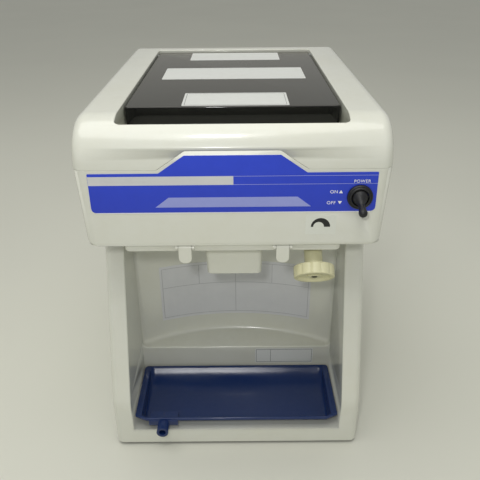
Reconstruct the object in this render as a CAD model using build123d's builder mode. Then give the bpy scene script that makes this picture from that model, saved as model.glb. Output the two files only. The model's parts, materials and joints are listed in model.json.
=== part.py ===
from build123d import *
import os
from math import atan, cos, degrees, pi, radians, sin, sqrt, tan

# Electric ice slicer for cubed ice. Millimetres, +X to the right, +Y away from the user, +Z up.
# The origin lies on the table, under the middle of the machine.

os.makedirs("parts", exist_ok=True)

# ---------------------------------------------------------------- driving dimensions
head_width = 320.0            # at the seam between casing and cover
head_depth = 432.0
front_offset = 11.0           # the head's middle lies this far behind the origin
front_y = front_offset - head_depth / 2
back_y = front_y + head_depth
foot_height = 3.5
stand_height = 287.0          # from the stand's lower edge to the head
casing_height = 86.0          # from the stand to the seam
cover_height = 47.0           # from the seam to the top
wall = 3.0                    # moulded plastic
draft_inset = 5.0             # the casing narrows by this much on each side towards its floor
fit_gap = 0.3                 # between parts that only lie beside each other
running_gap = 0.05            # radial clearance of a pin or shaft in its hole
seat_gap = 0.25               # radial clearance where a part drops into a pocket
margin = 0.5                  # keeps edge selections clear of the faces beside them

stand_z = foot_height
casing_z = stand_z + stand_height
seam_z = casing_z + casing_height
top_z = seam_z + cover_height


def behind(distance):
    """The y of a place this far behind the front face of the head."""
    return front_y + distance


# Cover and casing
crown_radius = 45.0           # the cover's front, from the seam up to the top
rear_radius = 14.0
corner_radius = 12.0
inner_corner = corner_radius - wall
tongue_top = 95.0             # width of the casing's raised middle, at its top
tongue_foot = 151.0
tongue_rise = 18.5
tongue_corner = 8.0
tongue_reach = 12.0           # how far back the tongue's outline cuts
boss_side_inset = 14.0        # screw bosses in the four corners
boss_inset = 15.0
boss_x = head_width / 2 - boss_side_inset
boss_radius = 6.0
cover_screw_radius = 2.0
cover_screw_bite = 12.0
cover_screw_head = 3.6
cover_screw_wall = 8.0        # plastic above the head of each cover screw
post_side_inset = 13.0        # posts that carry the base plate
post_inset = 12.0
post_radius = 7.0
plate_screw_radius = 2.5
plate_screw_bite = 18.0
stand_inset = 6.0             # the stand is this much narrower than the head, on each side
stand_width = head_width - 2 * stand_inset
stand_screw_inset = 34.0
stand_screw_x = stand_width / 2 - stand_screw_inset
stand_screw_front = 190.0     # behind the front
stand_screw_back_inset = 40.0
stand_screw_depths = (stand_screw_front, head_depth - stand_screw_back_inset)
stand_screw_radius = 3.0
opening_side_margin = 43.0
opening_front = 22.0          # behind the front
opening_back_margin = 30.0
opening_width = head_width - 2 * opening_side_margin
opening_back = head_depth - opening_back_margin
opening_middle = (opening_front + opening_back) / 2
opening_corner = 5.0
lip_depth = 25.0              # the wall that hangs down round the opening
lip_wall = 2.5

# Lid
lid_gap = 1.6
lid_front = 75.0              # behind the front
lid_wall = 3.0
lid_drop = 3.5                # the lid's top lies this far under the cover's
lid_width = opening_width - 2 * lid_gap
lid_back = opening_back - lid_gap
lid_top = top_z - lid_drop
lid_foot = top_z - lip_depth + fit_gap
lid_depth = lid_back - lid_front
lid_pivot_drop = 4.0          # pivot below the lid's top
lid_pivot_inset = 6.0         # pivot in front of the lid's rear face
lid_relief_depth = 8.0
lid_relief = 2.0
lid_pin_radius = 2.0
lid_pin_spare = 1.5
lid_corner = 4.0
lid_edge = 1.5
magnet_radius = 5.0
magnet_height = 4.0
magnet_wall = 1.5
magnet_side_inset = 11.4
magnet_inset = 19.0           # behind the lid's front face
magnet_x = magnet_side_inset - lid_width / 2
magnet_depth = lid_front + magnet_inset
magnet_z = lid_foot + 2.0

# Hopper, bowl and base plate
bowl_axis = 170.0             # behind the front
bowl_radius = 98.0            # inside
bowl_wall = 2.5
bowl_height = 46.0
bowl_flange_width = 12.0
bowl_screw_count = 6
bowl_screw_start = 30.0
bowl_screw_radius = 2.0
plate_thickness = 6.0
plate_side_margin = 29.0
plate_width = head_width - 2 * plate_side_margin
post_x = plate_width / 2 - post_side_inset
plate_front = 26.0
plate_back = 300.0
plate_rise = 28.5             # the base plate's underside, above the casing's
plate_z = casing_z + plate_rise
plate_top = plate_z + plate_thickness
bowl_top = plate_top + bowl_height
hopper_wall = 2.5
flange_spare = 3.0
mouth_corner = 24.0
hopper_top = top_z - lip_depth
mouth_width = 2 * bowl_radius
mouth_front = 86.0
mouth_back = 330.0
slot_inner = 62.0             # the slot runs from this radius out
slot_outer = 97.0
slot_width = 10.5
slot_corner = 4.5

# Impeller and gears
shaft_radius = 7.0
bearing_radius = 15.0
bearing_height = 9.0
bearing_wall = 3.0
hub_radius = 18.0
hub_height = 38.0
hub_cap = 6.0                 # plastic over the shaft's end
hub_round = 6.0
vane_floor_gap = 1.6          # above the base plate, so the vanes clear the blade's tip
vane_height = 30.0
vane_start = 40.0
vane_tip_round = 3.0
vane_thickness = 6.0
vane_count = 3
vane_clearance = 2.0
gear_module = 1.5
gear_teeth = 68
pinion_teeth = 16
gear_width = 8.0
gear_backlash = 0.3
gear_case_wall = 3.0
gear_case_floor = 4.0
gear_web_inner = 14.0
gear_web_outer = 44.0
gear_web_depth = 3.0
gear_top_gap = 4.0            # between the gears and the base plate
gear_foot_gap = 3.0           # between the gears and the gear case
gear_side_gap = 1.5
gear_distance = gear_module * (gear_teeth + pinion_teeth) / 2
gear_z = plate_z - gear_top_gap - gear_width
gear_radius = gear_module * gear_teeth / 2 + gear_module
gear_case_radius = gear_radius + gear_side_gap + gear_case_wall
motor_screw_circle_radius = 22.0
motor_screw_count = 4
motor_screw_radius = 1.5
motor_screw_bite = 6.0
motor_screw_gap = 2.0         # between the screws' heads and the gear case's wall
pinion_case_radius = motor_screw_circle_radius + 2 * motor_screw_radius + motor_screw_gap + gear_case_wall
case_ear_radius = 6.0
case_screw_radius = 2.0
case_screw_circle_radius = gear_case_radius + 1.0
case_screw_turns = (-149.0, -31.0, 20.0, 160.0)
motor_axis = bowl_axis + gear_distance
gear_case_z = gear_z - gear_foot_gap - gear_case_floor

# Motor
motor_radius = 44.0
motor_length = 104.0
motor_wall = 2.0
motor_shaft_radius = 4.0
motor_spigot_radius = 14.0
motor_bearing_radius = 11.0
motor_bearing_height = 7.0
bell_height = 12.0
bell_web = 3.0
bell_vent_circle_radius = 28.0
bell_vents = 8
bell_vent_start = 22.5
bell_vent_radius = 5.0
bell_rim = 2.0                # inside the motor's tube
bell_shaft_gap = 1.0
fan_lift = 1.0                # above the lower bell
stator_lift = 4.0             # above the motor's middle
winding_gap = 2.0
shaft_spare = 1.0             # above the pinion
shaft_lift = 0.5              # above the gear case's underside
shaft_chamfer = 0.8
motor_top = gear_case_z
stator_inner = 27.0
rotor_gap = 0.6
rotor_radius = stator_inner - rotor_gap
stator_height = 40.0
stator_slots = 12
stator_slot_width = 4.0
slot_depth = 9.0
winding_height = 9.0
fan_radius = 34.0
fan_hub_radius = 8.0
fan_height = 7.0
fan_disc = 1.5
fan_blades = 9
fan_blade = 2.0
fan_tip_gap = 1.0             # between the blades' tips and the disc's edge

# Stand
toe_depth = 1.5               # behind the front
column_width = 23.5
bay_width = stand_width - 2 * column_width
toe_height = 64.5             # the upright part of the columns' front edge
column_lean = 74.0            # the front edge lies this far back where it meets the head
lean_radius = 60.0            # softens the bend in that edge
stand_back_inset = 8.0        # in front of the head's rear face
stand_back = head_depth - stand_back_inset
stand_corner = 9.0
rail_height = 21.5            # the rail under the tray, above the stand's lower edge
ledge_front = 108.0           # behind the front
ledge_height = 69.5           # above the stand's lower edge, at its front
ledge_slope = 8.0             # degrees
ledge_round = 7.0             # where the ledge, the rear wall and the columns meet
wall_side = 116.0             # the concave rear wall, where it meets the columns
wall_middle = 146.0
motor_hole = 96.0
bottom_plate_thickness = 1.5
rear_cover_side_margin = 29.0
rear_cover_foot_margin = 30.5
rear_cover_top_margin = 26.5
rear_cover_width = stand_width - 2 * rear_cover_side_margin
rear_cover_height = stand_height - rear_cover_foot_margin - rear_cover_top_margin
rear_cover_z = stand_z + rear_cover_foot_margin
louvre_length = 70.0
louvre_height = 4.0
louvre_gap = 12.0
louvre_pitch = 11.0
louvre_columns = 2
louvre_rows = 12
rear_cover_thickness = 2.0
rear_rim = 16.0
rear_corner = 6.0
rear_screw_radius = 2.0
rear_screw_length = 8.0
rear_screw_round = 0.8
gland_side_inset = 36.0
gland_rise = 15.5             # above the stand's lower edge
gland_x = gland_side_inset - stand_width / 2
gland_z = stand_z + gland_rise
gland_radius = 8.0
gland_nut_radius = 12.0
gland_nut_height = 5.0
gland_dome_height = 5.0
gland_round = 1.5
gland_tail = 14.0
gland_bore = 4.2
foot_side_inset = 26.0
foot_front_inset = 26.0       # behind the front
foot_back_inset = 24.0        # in front of the stand's rear face
foot_x = stand_width / 2 - foot_side_inset
foot_depths = (foot_front_inset, stand_back - foot_back_inset)
foot_places = [(x, behind(depth)) for x in (-foot_x, foot_x) for depth in foot_depths]
foot_radius = 12.0
foot_round = 0.8
foot_recess = 2.4
foot_screw_radius = 2.0
foot_screw_head = 4.0
foot_screw_head_height = 1.8
foot_screw_length = 6.0
stand_screw_spare = 8.0
stand_nut_height = 5.0
case_screw_bite = 4.0

# Electrical parts in the stand
capacitor_x = 92.0
capacitor_depth = 320.0       # behind the front
capacitor_radius = 17.5
capacitor_height = 78.0
block_size = (56.0, 24.0, 18.0)
block_ways = 5
block_screw_radius = 2.2
sensor_size = (14.0, 30.0, 7.0)
sensor_shift = 5.5
sensor_round = 1.0
capacitor_round = 1.5

# Tray
tray_side_gap = 2.0
tray_back_gap = 4.0
tray_front = 3.0
tray_width = bay_width - 2 * tray_side_gap
tray_depth = ledge_front - tray_back_gap - tray_front
tray_z = stand_z + rail_height + fit_gap
tray_height = 18.5
tray_rim = 8.0
tray_edge = 3.0
tray_floor = 3.0
tray_slope = 6.0
tray_corner = 5.0
tray_cut = (15.0, 7.0)        # the clipped front corners
tray_lip = 4.0                # height of the rim's edge
tray_overhang = 1.5           # of the rim's edge over the walls
tray_side_draft = 6.0
tray_front_draft = 14.0
tray_back_draft = 4.0
spout_x = -92.0
spout_rise = 9.7              # above the tray's underside
spout_radius = 7.25
spout_neck = 6.25              # radius of the tube behind its boss
spout_bore = 4.0
spout_reach = 12.0            # in front of the head's front face
spout_boss = (36.5, 1.0, 8.0)

# Ice chute and its cover under the head
guard_left_gap = 13.5         # between the guard and the columns
guard_right_gap = 16.5
guard_left = guard_left_gap - bay_width / 2
guard_right = bay_width / 2 - guard_right_gap
guard_front = 7.0
guard_back = 118.0
guard_height = 9.0
guard_wall = 3.0
guard_corner = 6.0
guard_edge = 1.5
chute_front = 32.0
chute_top = (66.0, 80.0)      # outside, at the head's underside
chute_foot = (62.0, 66.0)
chute_drop = 52.5             # below the head
chute_corner = 6.0
chute_wall = 2.5
window_height = 18.0
window_gap = 2.0
latch_x = 52.0
latch_width = 14.0
latch_drop = 18.0
latch_thickness = 3.0
latch_barrel = 2.5
latch_ear = 3.0
latch_tip = 6.0
latch_pin_radius = 1.5

# Blade and its lever
slot_end_gap = 1.0
blade_length = slot_outer - slot_inner - 2 * slot_end_gap
blade_width = 16.0
blade_thickness = 1.6
blade_pitch = 60.0            # degrees
blade_middle = bowl_axis - (slot_inner + slot_outer) / 2
blade_tip_x = -2.5
blade_rise = 0.8              # the edge stands this far above the bowl's floor
blade_bevel = 3.0
blade_screw_down = 12.0       # from the edge, along the blade
blade_screw_spacing = 18.0
blade_screw_radius = 1.25
blade_screw_length = 6.0
lever_thickness = 5.0
lever_head_start = 9.0        # from the blade's edge, along the blade
lever_head_end = 18.0
lever_bar_end = 93.0
lever_bar_width = 18.0
lever_boss_radius = 5.5
lever_tail = 1.5              # beyond the blade's lower end
lever_web_inset = 4.0
lever_overlap = 2.0           # of the bar and the head
lug_width = 12.0
lug_front = 58.0              # behind the front
lever_pivot_x = 42.0
lever_pin_radius = 2.5
lever_pivot_drop = 11.5       # under the base plate
lever_pivot_z = plate_z - lever_pivot_drop
ear_spacing = 22.0
ear_thickness = 4.0
ear_width = 13.0
ear_drop = 18.0

# Adjusting knob
knob_side_inset = 72.0
knob_x = head_width / 2 - knob_side_inset
knob_tilt = 45.0
knob_face_drop = 43.5         # the knob's end face below the head
knob_face_depth = 7.0         # behind the front
knob_radius = 22.5
knob_width = 13.0
knob_lobes = 12
knob_collar_radius = 10.0
knob_collar_length = 53.0
knob_rod_radius = 5.0
knob_rod_chamfer = 0.4
knob_reach = 66.0             # how far the knob's hole runs up into the head
bush_radius = 13.0
bush_length = 15.0
knob_flute_depth = 1.4
knob_lobe_radius = 4.6
knob_dish_radius = 17.5
knob_dish_depth = 3.0
knob_boss_radius = 8.0
knob_boss_gap = 1.5
knob_clip_radius = 12.0
knob_clip_thickness = 1.5

# Power switch
switch_side_inset = 32.3
switch_rise = 56.5            # above the casing's floor
switch_x = head_width / 2 - switch_side_inset
switch_z = casing_z + switch_rise
boot_radius = 13.0
pivot_reach = 1.0             # the lever's pivot lies this far in front of the casing
dome_radius = 8.5
boot_height = 4.5
boot_round = 2.0
neck_foot = 5.5
neck_root = 2.5               # how deep the neck starts in the dome
neck_reach = 12.0
neck_radius = 3.0
tip_radius = 4.4
lever_length = 27.0
lever_tilt = 22.0             # below the level line, switched off
toggle_pin_radius = 0.9
toggle_pin_half = 10.0
seam_turn = 90.0              # keeps the dome's seam away from its pin
switch_box = (20.0, 26.0, 32.0)
terminal_thickness = 0.8
terminal_width = 6.0
terminal_length = 8.0

# Control panel
panel_side_inset = 15.5
panel_foot_gap = 40.5         # above the casing's floor
panel_top_gap = 3.2           # below the seam
panel_half = head_width / 2 - panel_side_inset
panel_low = casing_z + panel_foot_gap
panel_side_top = seam_z - panel_top_gap
panel_thickness = 0.5
panel_corner = 10.0
panel_slope_inset = 1.5
panel_slope_top = tongue_top / 2
panel_slope_foot = tongue_foot / 2 - panel_slope_inset


# ---------------------------------------------------------------- head: casing and cover
def seam_half_width(z):
    """Half the casing's width at a height, which shrinks evenly below the seam."""
    return head_width / 2 - draft_inset * (seam_z - z) / casing_height


def cover_form(inset):
    """The cover's outer shape above the seam, drawn in on every side by the inset."""
    with BuildPart() as form:
        with BuildSketch(Plane.YZ.offset(inset - head_width / 2)) as side:
            with Locations((front_offset, seam_z + (cover_height - inset) / 2)):
                Rectangle(head_depth - 2 * inset, cover_height - inset)
            fillet(side.vertices().group_by(Axis.Y)[-1].sort_by(Axis.X)[0], radius=crown_radius - inset)
            fillet(side.vertices().group_by(Axis.Y)[-1].sort_by(Axis.X)[-1], radius=rear_radius - inset)
        extrude(amount=head_width - 2 * inset)
        flanks = form.faces().filter_by(Axis.X).edges()
        fillet(flanks.filter_by(lambda e: e.center().Z > seam_z + margin), radius=corner_radius - inset)
    return form.part


def casing_form(inset, low):
    """The casing's outer shape from a height up to the seam, drawn in by the inset."""
    with BuildPart() as form:
        for z in (low, seam_z):
            with BuildSketch(Plane.XY.offset(z)):
                with Locations((0, front_offset)):
                    RectangleRounded(
                        2 * (seam_half_width(z) - inset),
                        head_depth - 2 * inset,
                        corner_radius - inset,
                    )
        loft()
    return form.part


def tongue_prism(grow):
    """A block over the raised middle of the casing's front, larger by grow."""
    with BuildPart() as block:
        with BuildSketch(Plane.XZ.offset(1 - front_y)) as outline:
            with BuildLine():
                Polyline(
                    (-tongue_foot / 2 - grow, seam_z),
                    (tongue_foot / 2 + grow, seam_z),
                    (tongue_top / 2 + grow, seam_z + tongue_rise + grow),
                    (-tongue_top / 2 - grow, seam_z + tongue_rise + grow),
                    close=True,
                )
            make_face()
            fillet(outline.vertices().group_by(Axis.Y)[-1], radius=tongue_corner)
        extrude(amount=-(tongue_reach + 1))
    return block.part


cover_shell = cover_form(0) - cover_form(wall)
boss_depths = (boss_inset, head_depth - boss_inset)
cover_boss_places = [(x, behind(depth)) for x in (-boss_x, boss_x) for depth in boss_depths]
lid_pivot = (lid_back - lid_pivot_inset, lid_top - lid_pivot_drop)

with BuildPart() as upper_cover:
    add(cover_shell)
    with BuildSketch(Plane.XY.offset(seam_z + 1)):
        with Locations((0, behind(opening_middle))):
            RectangleRounded(opening_width, opening_back - opening_front, opening_corner)
    extrude(amount=cover_height, mode=Mode.SUBTRACT)
    with BuildSketch(Plane.XY.offset(hopper_top)):
        with Locations((0, behind(opening_middle))):
            RectangleRounded(
                opening_width + 2 * lip_wall,
                opening_back - opening_front + 2 * lip_wall,
                opening_corner + lip_wall,
            )
            RectangleRounded(
                opening_width, opening_back - opening_front, opening_corner, mode=Mode.SUBTRACT
            )
    lip = extrude(amount=lip_depth, mode=Mode.PRIVATE)
    add(lip & cover_form(0))
    with BuildSketch(Plane.XY.offset(seam_z)):
        with Locations(*cover_boss_places):
            Circle(boss_radius)
    bosses = extrude(amount=cover_height, mode=Mode.PRIVATE)
    add(bosses & cover_form(wall / 2))
    with BuildSketch(Plane.XY.offset(seam_z)):
        with Locations(*cover_boss_places):
            Circle(cover_screw_radius)
    extrude(amount=cover_screw_bite, mode=Mode.SUBTRACT)
    add(tongue_prism(fit_gap), mode=Mode.SUBTRACT)
    with BuildSketch(Plane.YZ.offset(-head_width / 2 + wall)):
        with Locations((behind(lid_pivot[0]), lid_pivot[1])):
            Circle(lid_pin_radius + running_gap)
    extrude(amount=head_width - 2 * wall, mode=Mode.SUBTRACT)
upper_cover.part.label = "upper_cover"
export_step(upper_cover.part, "parts/upper_cover.step")

# Directions along the slanted knob, from its end face up into the head
knob_up = Vector(0, cos(radians(knob_tilt)), sin(radians(knob_tilt)))
knob_face = Vector(knob_x, behind(knob_face_depth), casing_z - knob_face_drop)


def on_knob(distance):
    """A plane square to the knob's axis, this far up from its end face."""
    return Plane(origin=knob_face + knob_up * distance, x_dir=(1, 0, 0), z_dir=knob_up)


chute_middle = behind(chute_front + chute_top[1] / 2)
post_depths = (plate_front + post_inset, plate_back - post_inset)
post_places = [(x, behind(depth)) for x in (-post_x, post_x) for depth in post_depths]
stand_screw_places = [
    (x, behind(depth)) for x in (-stand_screw_x, stand_screw_x) for depth in stand_screw_depths
]
switch_axis = Plane(origin=(switch_x, front_y, switch_z), x_dir=(1, 0, 0), z_dir=(0, -1, 0))
switch_pivot = Plane(origin=(switch_x, front_y - pivot_reach, switch_z), x_dir=(1, 0, 0), z_dir=(0, -1, 0))

with BuildPart() as head_casing:
    add(casing_form(0, casing_z))
    add(casing_form(wall, casing_z + wall), mode=Mode.SUBTRACT)
    add(cover_shell & tongue_prism(0))
    with BuildSketch(Plane.XY.offset(casing_z)):
        with Locations(*cover_boss_places):
            Circle(boss_radius)
    extrude(amount=casing_height)
    with BuildSketch(Plane.XY.offset(casing_z)):
        with Locations(*post_places):
            Circle(post_radius)
    extrude(amount=plate_rise)
    # cover screws go up from below, with their heads deep in the bosses
    with BuildSketch(Plane.XY.offset(casing_z)):
        with Locations(*cover_boss_places):
            Circle(cover_screw_radius + seat_gap)
    extrude(amount=casing_height, mode=Mode.SUBTRACT)
    with BuildSketch(Plane.XY.offset(casing_z)):
        with Locations(*cover_boss_places):
            Circle(cover_screw_head + seat_gap)
    extrude(amount=casing_height - cover_screw_wall, mode=Mode.SUBTRACT)
    with BuildSketch(Plane.XY.offset(plate_z)):
        with Locations(*post_places):
            Circle(plate_screw_radius)
    extrude(amount=-plate_screw_bite, mode=Mode.SUBTRACT)
    with BuildSketch(Plane.XY.offset(casing_z)):
        with Locations((0, chute_middle)):
            RectangleRounded(chute_top[0] + 2 * seat_gap, chute_top[1] + 2 * seat_gap, chute_corner)
        with Locations((0, behind(motor_axis))):
            Circle(motor_hole / 2)
        with Locations(*stand_screw_places):
            Circle(stand_screw_radius + seat_gap)
    extrude(amount=wall, mode=Mode.SUBTRACT)
    with BuildSketch(on_knob(0)):
        Circle(bush_radius)
    extrude(amount=2 * knob_reach, mode=Mode.SUBTRACT)
    with BuildSketch(switch_axis):
        Circle(dome_radius + fit_gap)
    extrude(amount=-wall, mode=Mode.SUBTRACT)
head_casing.part.label = "head_casing"
export_step(head_casing.part, "parts/head_casing.step")

with BuildPart() as control_panel:
    add(cover_form(-panel_thickness) + casing_form(-panel_thickness, casing_z))
    add(cover_form(0), mode=Mode.SUBTRACT)
    add(casing_form(0, casing_z - 1), mode=Mode.SUBTRACT)
    with BuildSketch(Plane.XZ.offset(1 + panel_thickness - front_y)) as film:
        with BuildLine():
            Polyline(
                (-panel_half, panel_low),
                (panel_half, panel_low),
                (panel_half, panel_side_top),
                (panel_slope_foot, panel_side_top),
                (panel_slope_top, panel_side_top + tongue_rise),
                (-panel_slope_top, panel_side_top + tongue_rise),
                (-panel_slope_foot, panel_side_top),
                (-panel_half, panel_side_top),
                close=True,
            )
        make_face()
        fillet(film.vertices().group_by(Axis.Y)[0], radius=panel_corner)
        fillet(film.vertices().group_by(Axis.Y)[-1], radius=tongue_corner)
    extrude(amount=-tongue_reach, mode=Mode.INTERSECT)
    with BuildSketch(switch_axis):
        Circle(toggle_pin_half + fit_gap)
    extrude(amount=2 * wall, both=True, mode=Mode.SUBTRACT)
control_panel.part.label = "control_panel"
export_step(control_panel.part, "parts/control_panel.step")

# ---------------------------------------------------------------- lid
with BuildPart() as lid:
    with BuildSketch(Plane.XY.offset(lid_foot)):
        with Locations((0, behind((lid_front + lid_back) / 2))):
            RectangleRounded(lid_width, lid_depth, lid_corner)
    extrude(amount=lid_top - lid_foot)
    fillet(lid.faces().sort_by(Axis.Z)[-1].edges(), radius=lid_edge)
    with BuildSketch(Plane.XY.offset(lid_foot)):
        with Locations((0, behind((lid_front + lid_back) / 2))):
            RectangleRounded(lid_width - 2 * lid_wall, lid_depth - 2 * lid_wall, lid_corner - lid_wall / 2)
    extrude(amount=lid_top - lid_foot - lid_wall, mode=Mode.SUBTRACT)
    # the rear skirt is shorter, so its lower edge clears the shelf as the lid swings up
    with BuildSketch(Plane.XY.offset(lid_foot)):
        with Locations((0, behind(lid_back - lid_relief_depth / 2))):
            Rectangle(lid_width, lid_relief_depth)
    extrude(amount=lid_relief, mode=Mode.SUBTRACT)
    with BuildSketch(Plane.XY.offset(magnet_z)):
        with Locations((magnet_x, behind(magnet_depth))):
            Circle(magnet_radius + magnet_wall)
    extrude(until=Until.NEXT)
    with BuildSketch(Plane.XY.offset(magnet_z)):
        with Locations((magnet_x, behind(magnet_depth))):
            Circle(magnet_radius)
    extrude(amount=magnet_height, mode=Mode.SUBTRACT)
    with BuildSketch(Plane.YZ.offset(-lid_width / 2)):
        with Locations((behind(lid_pivot[0]), lid_pivot[1])):
            Circle(lid_pin_radius)
    extrude(amount=lid_width, mode=Mode.SUBTRACT)
lid.part.label = "lid"
export_step(lid.part, "parts/lid.step")

with BuildPart() as lid_pins:
    for side in (-1, 1):
        with BuildSketch(Plane.YZ.offset(side * (lid_width / 2 - lid_wall))):
            with Locations((behind(lid_pivot[0]), lid_pivot[1])):
                Circle(lid_pin_radius)
        extrude(amount=side * (lid_wall + lid_gap + lip_wall + lid_pin_spare))
lid_pins.part.label = "lid_hinge_pins"
export_step(lid_pins.part, "parts/lid_hinge_pins.step")

with BuildPart() as lid_magnet:
    with BuildSketch(Plane.XY.offset(magnet_z)):
        with Locations((magnet_x, behind(magnet_depth))):
            Circle(magnet_radius)
    extrude(amount=magnet_height)
lid_magnet.part.label = "lid_magnet"
export_step(lid_magnet.part, "parts/lid_magnet.step")

# ---------------------------------------------------------------- hopper and bowl
with BuildPart() as hopper_inside:
    with BuildSketch(Plane.XY.offset(hopper_top - hopper_wall)):
        with Locations((0, behind((mouth_front + mouth_back) / 2))):
            RectangleRounded(mouth_width, mouth_back - mouth_front, mouth_corner)
    with BuildSketch(Plane.XY.offset(bowl_top)):
        with Locations((0, behind(bowl_axis))):
            Circle(bowl_radius)
    loft()

with BuildPart() as hopper:
    with BuildSketch(Plane.XY.offset(hopper_top - hopper_wall)):
        with Locations((0, behind((mouth_front + mouth_back) / 2))):
            RectangleRounded(
                mouth_width + 2 * hopper_wall,
                mouth_back - mouth_front + 2 * hopper_wall,
                mouth_corner + hopper_wall,
            )
    with BuildSketch(Plane.XY.offset(bowl_top)):
        with Locations((0, behind(bowl_axis))):
            Circle(bowl_radius + hopper_wall)
    loft()
    with BuildSketch(Plane.XY.offset(hopper_top - hopper_wall)):
        with Locations((0, behind(opening_middle))):
            RectangleRounded(
                opening_width + 2 * (lip_wall + flange_spare),
                opening_back - opening_front + 2 * (lip_wall + flange_spare),
                opening_corner + lip_wall + flange_spare,
            )
    extrude(amount=hopper_wall)
    add(hopper_inside.part, mode=Mode.SUBTRACT)
    with BuildSketch(Plane.XY.offset(hopper_top - hopper_wall)):
        with Locations((0, behind((mouth_front + mouth_back) / 2))):
            RectangleRounded(mouth_width, mouth_back - mouth_front, mouth_corner)
    extrude(amount=hopper_wall, mode=Mode.SUBTRACT)
hopper.part.label = "ice_hopper"
export_step(hopper.part, "parts/ice_hopper.step")

bowl_screw_circle_radius = bowl_radius + bowl_wall + bowl_flange_width / 2

with BuildPart() as bowl:
    with BuildSketch(Plane.XY.offset(plate_top)):
        with Locations((0, behind(bowl_axis))):
            Circle(bowl_radius + bowl_flange_width)
    extrude(amount=bowl_wall)
    with BuildSketch(Plane.XY.offset(plate_top)):
        with Locations((0, behind(bowl_axis))):
            Circle(bowl_radius + bowl_wall)
    extrude(amount=bowl_height)
    with BuildSketch(Plane.XY.offset(plate_top)):
        with Locations((0, behind(bowl_axis))):
            Circle(bowl_radius)
    extrude(amount=bowl_height, mode=Mode.SUBTRACT)
    with BuildSketch(Plane.XY.offset(plate_top)):
        with Locations((0, behind(bowl_axis))):
            with PolarLocations(bowl_screw_circle_radius, bowl_screw_count, start_angle=bowl_screw_start):
                Circle(bowl_screw_radius)
    extrude(amount=bowl_wall, mode=Mode.SUBTRACT)
bowl.part.label = "ice_bowl"
export_step(bowl.part, "parts/ice_bowl.step")

ear_depths = (blade_middle - ear_spacing / 2 - ear_thickness, blade_middle + ear_spacing / 2)

case_screw_places = [
    (
        case_screw_circle_radius * cos(radians(turn)),
        behind(bowl_axis) + case_screw_circle_radius * sin(radians(turn)),
    )
    for turn in case_screw_turns
]

with BuildPart() as base_plate:
    with BuildSketch(Plane.XY.offset(plate_z)):
        with Locations((0, behind((plate_front + plate_back) / 2))):
            RectangleRounded(plate_width, plate_back - plate_front, post_radius)
    extrude(amount=plate_thickness)
    with BuildSketch(Plane.XY.offset(plate_z)):
        with Locations((0, behind(bowl_axis))):
            Circle(bearing_radius + bearing_wall)
    extrude(amount=plate_thickness - bearing_height)
    with BuildSketch(Plane.XY.offset(plate_z)):
        with Locations(*[(lever_pivot_x, behind(d + ear_thickness / 2)) for d in ear_depths]):
            Rectangle(ear_width, ear_thickness)
    extrude(amount=-ear_drop)
    with BuildSketch(Plane.XY.offset(plate_top)):
        with Locations((0, behind(bowl_axis))):
            Circle(bearing_radius)
        with Locations((0, behind(blade_middle))):
            RectangleRounded(slot_width, slot_outer - slot_inner, slot_corner)
    extrude(amount=-bearing_height, mode=Mode.SUBTRACT)
    with BuildSketch(Plane.XY.offset(plate_top)):
        with Locations(*post_places):
            Circle(plate_screw_radius + seat_gap)
        with Locations((0, behind(bowl_axis))):
            with PolarLocations(bowl_screw_circle_radius, bowl_screw_count, start_angle=bowl_screw_start):
                Circle(bowl_screw_radius)
    extrude(amount=-plate_thickness, mode=Mode.SUBTRACT)
    with BuildSketch(Plane.XY.offset(plate_z)):
        with Locations(*case_screw_places):
            Circle(case_screw_radius)
    extrude(amount=case_screw_bite, mode=Mode.SUBTRACT)
    with BuildSketch(Plane.XZ.offset(-behind(ear_depths[0]))):
        with Locations((lever_pivot_x, lever_pivot_z)):
            Circle(lever_pin_radius)
    extrude(amount=-(ear_spacing + 2 * ear_thickness), mode=Mode.SUBTRACT)
base_plate.part.label = "base_plate"
export_step(base_plate.part, "parts/base_plate.step")

# ---------------------------------------------------------------- impeller and its drive
def involute_point(base, radius, half_angle):
    """A point on a tooth's flank, half_angle being half the tooth's angle at the base circle."""
    roll = sqrt(max((radius / base) ** 2 - 1, 0))
    angle = half_angle - (roll - atan(roll))
    return (radius * sin(angle), radius * cos(angle))


def gear_face(teeth, bore, first_turn):
    """A spur gear's outline with a bore, its first tooth turned this far from +Y."""
    pitch = gear_module * teeth / 2
    base = pitch * cos(radians(20))
    tip = pitch + gear_module
    root = pitch - 1.25 * gear_module
    start = max(base, root)
    spread = tan(radians(20)) - radians(20)
    half_angle = (pi * gear_module / 2 - gear_backlash / 2) / (2 * pitch) + spread
    low, middle, high = [involute_point(base, r, half_angle) for r in (start, (start + tip) / 2, tip)]
    foot = (low[0] * root / start, low[1] * root / start)
    valley = Vector(0, root).rotate(Axis.Z, -180 / teeth)
    with BuildSketch() as face:
        with BuildLine():
            for tooth in range(teeth):
                turn = first_turn + 360.0 * tooth / teeth
                left = [Vector(-x, y).rotate(Axis.Z, turn) for x, y in (foot, low, middle, high)]
                right = [Vector(x, y).rotate(Axis.Z, turn) for x, y in (foot, low, middle, high)]
                crest = Vector(0, tip).rotate(Axis.Z, turn)
                if start > root:
                    Line(left[0], left[1])
                    Line(right[1], right[0])
                ThreePointArc(*left[1:])
                ThreePointArc(left[3], crest, right[3])
                ThreePointArc(right[3], right[2], right[1])
                valley = Vector(0, root).rotate(Axis.Z, turn - 180.0 / teeth)
                ThreePointArc(right[0], valley, left[0].rotate(Axis.Z, -360.0 / teeth))
        make_face()
        Circle(bore, mode=Mode.SUBTRACT)
    return face.sketch


vane_z = plate_top + vane_floor_gap
bowl_plane = Plane(origin=(0, behind(bowl_axis), 0))
motor_plane = Plane(origin=(0, behind(motor_axis), 0))
shaft_foot = gear_case_z + shaft_lift

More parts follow.
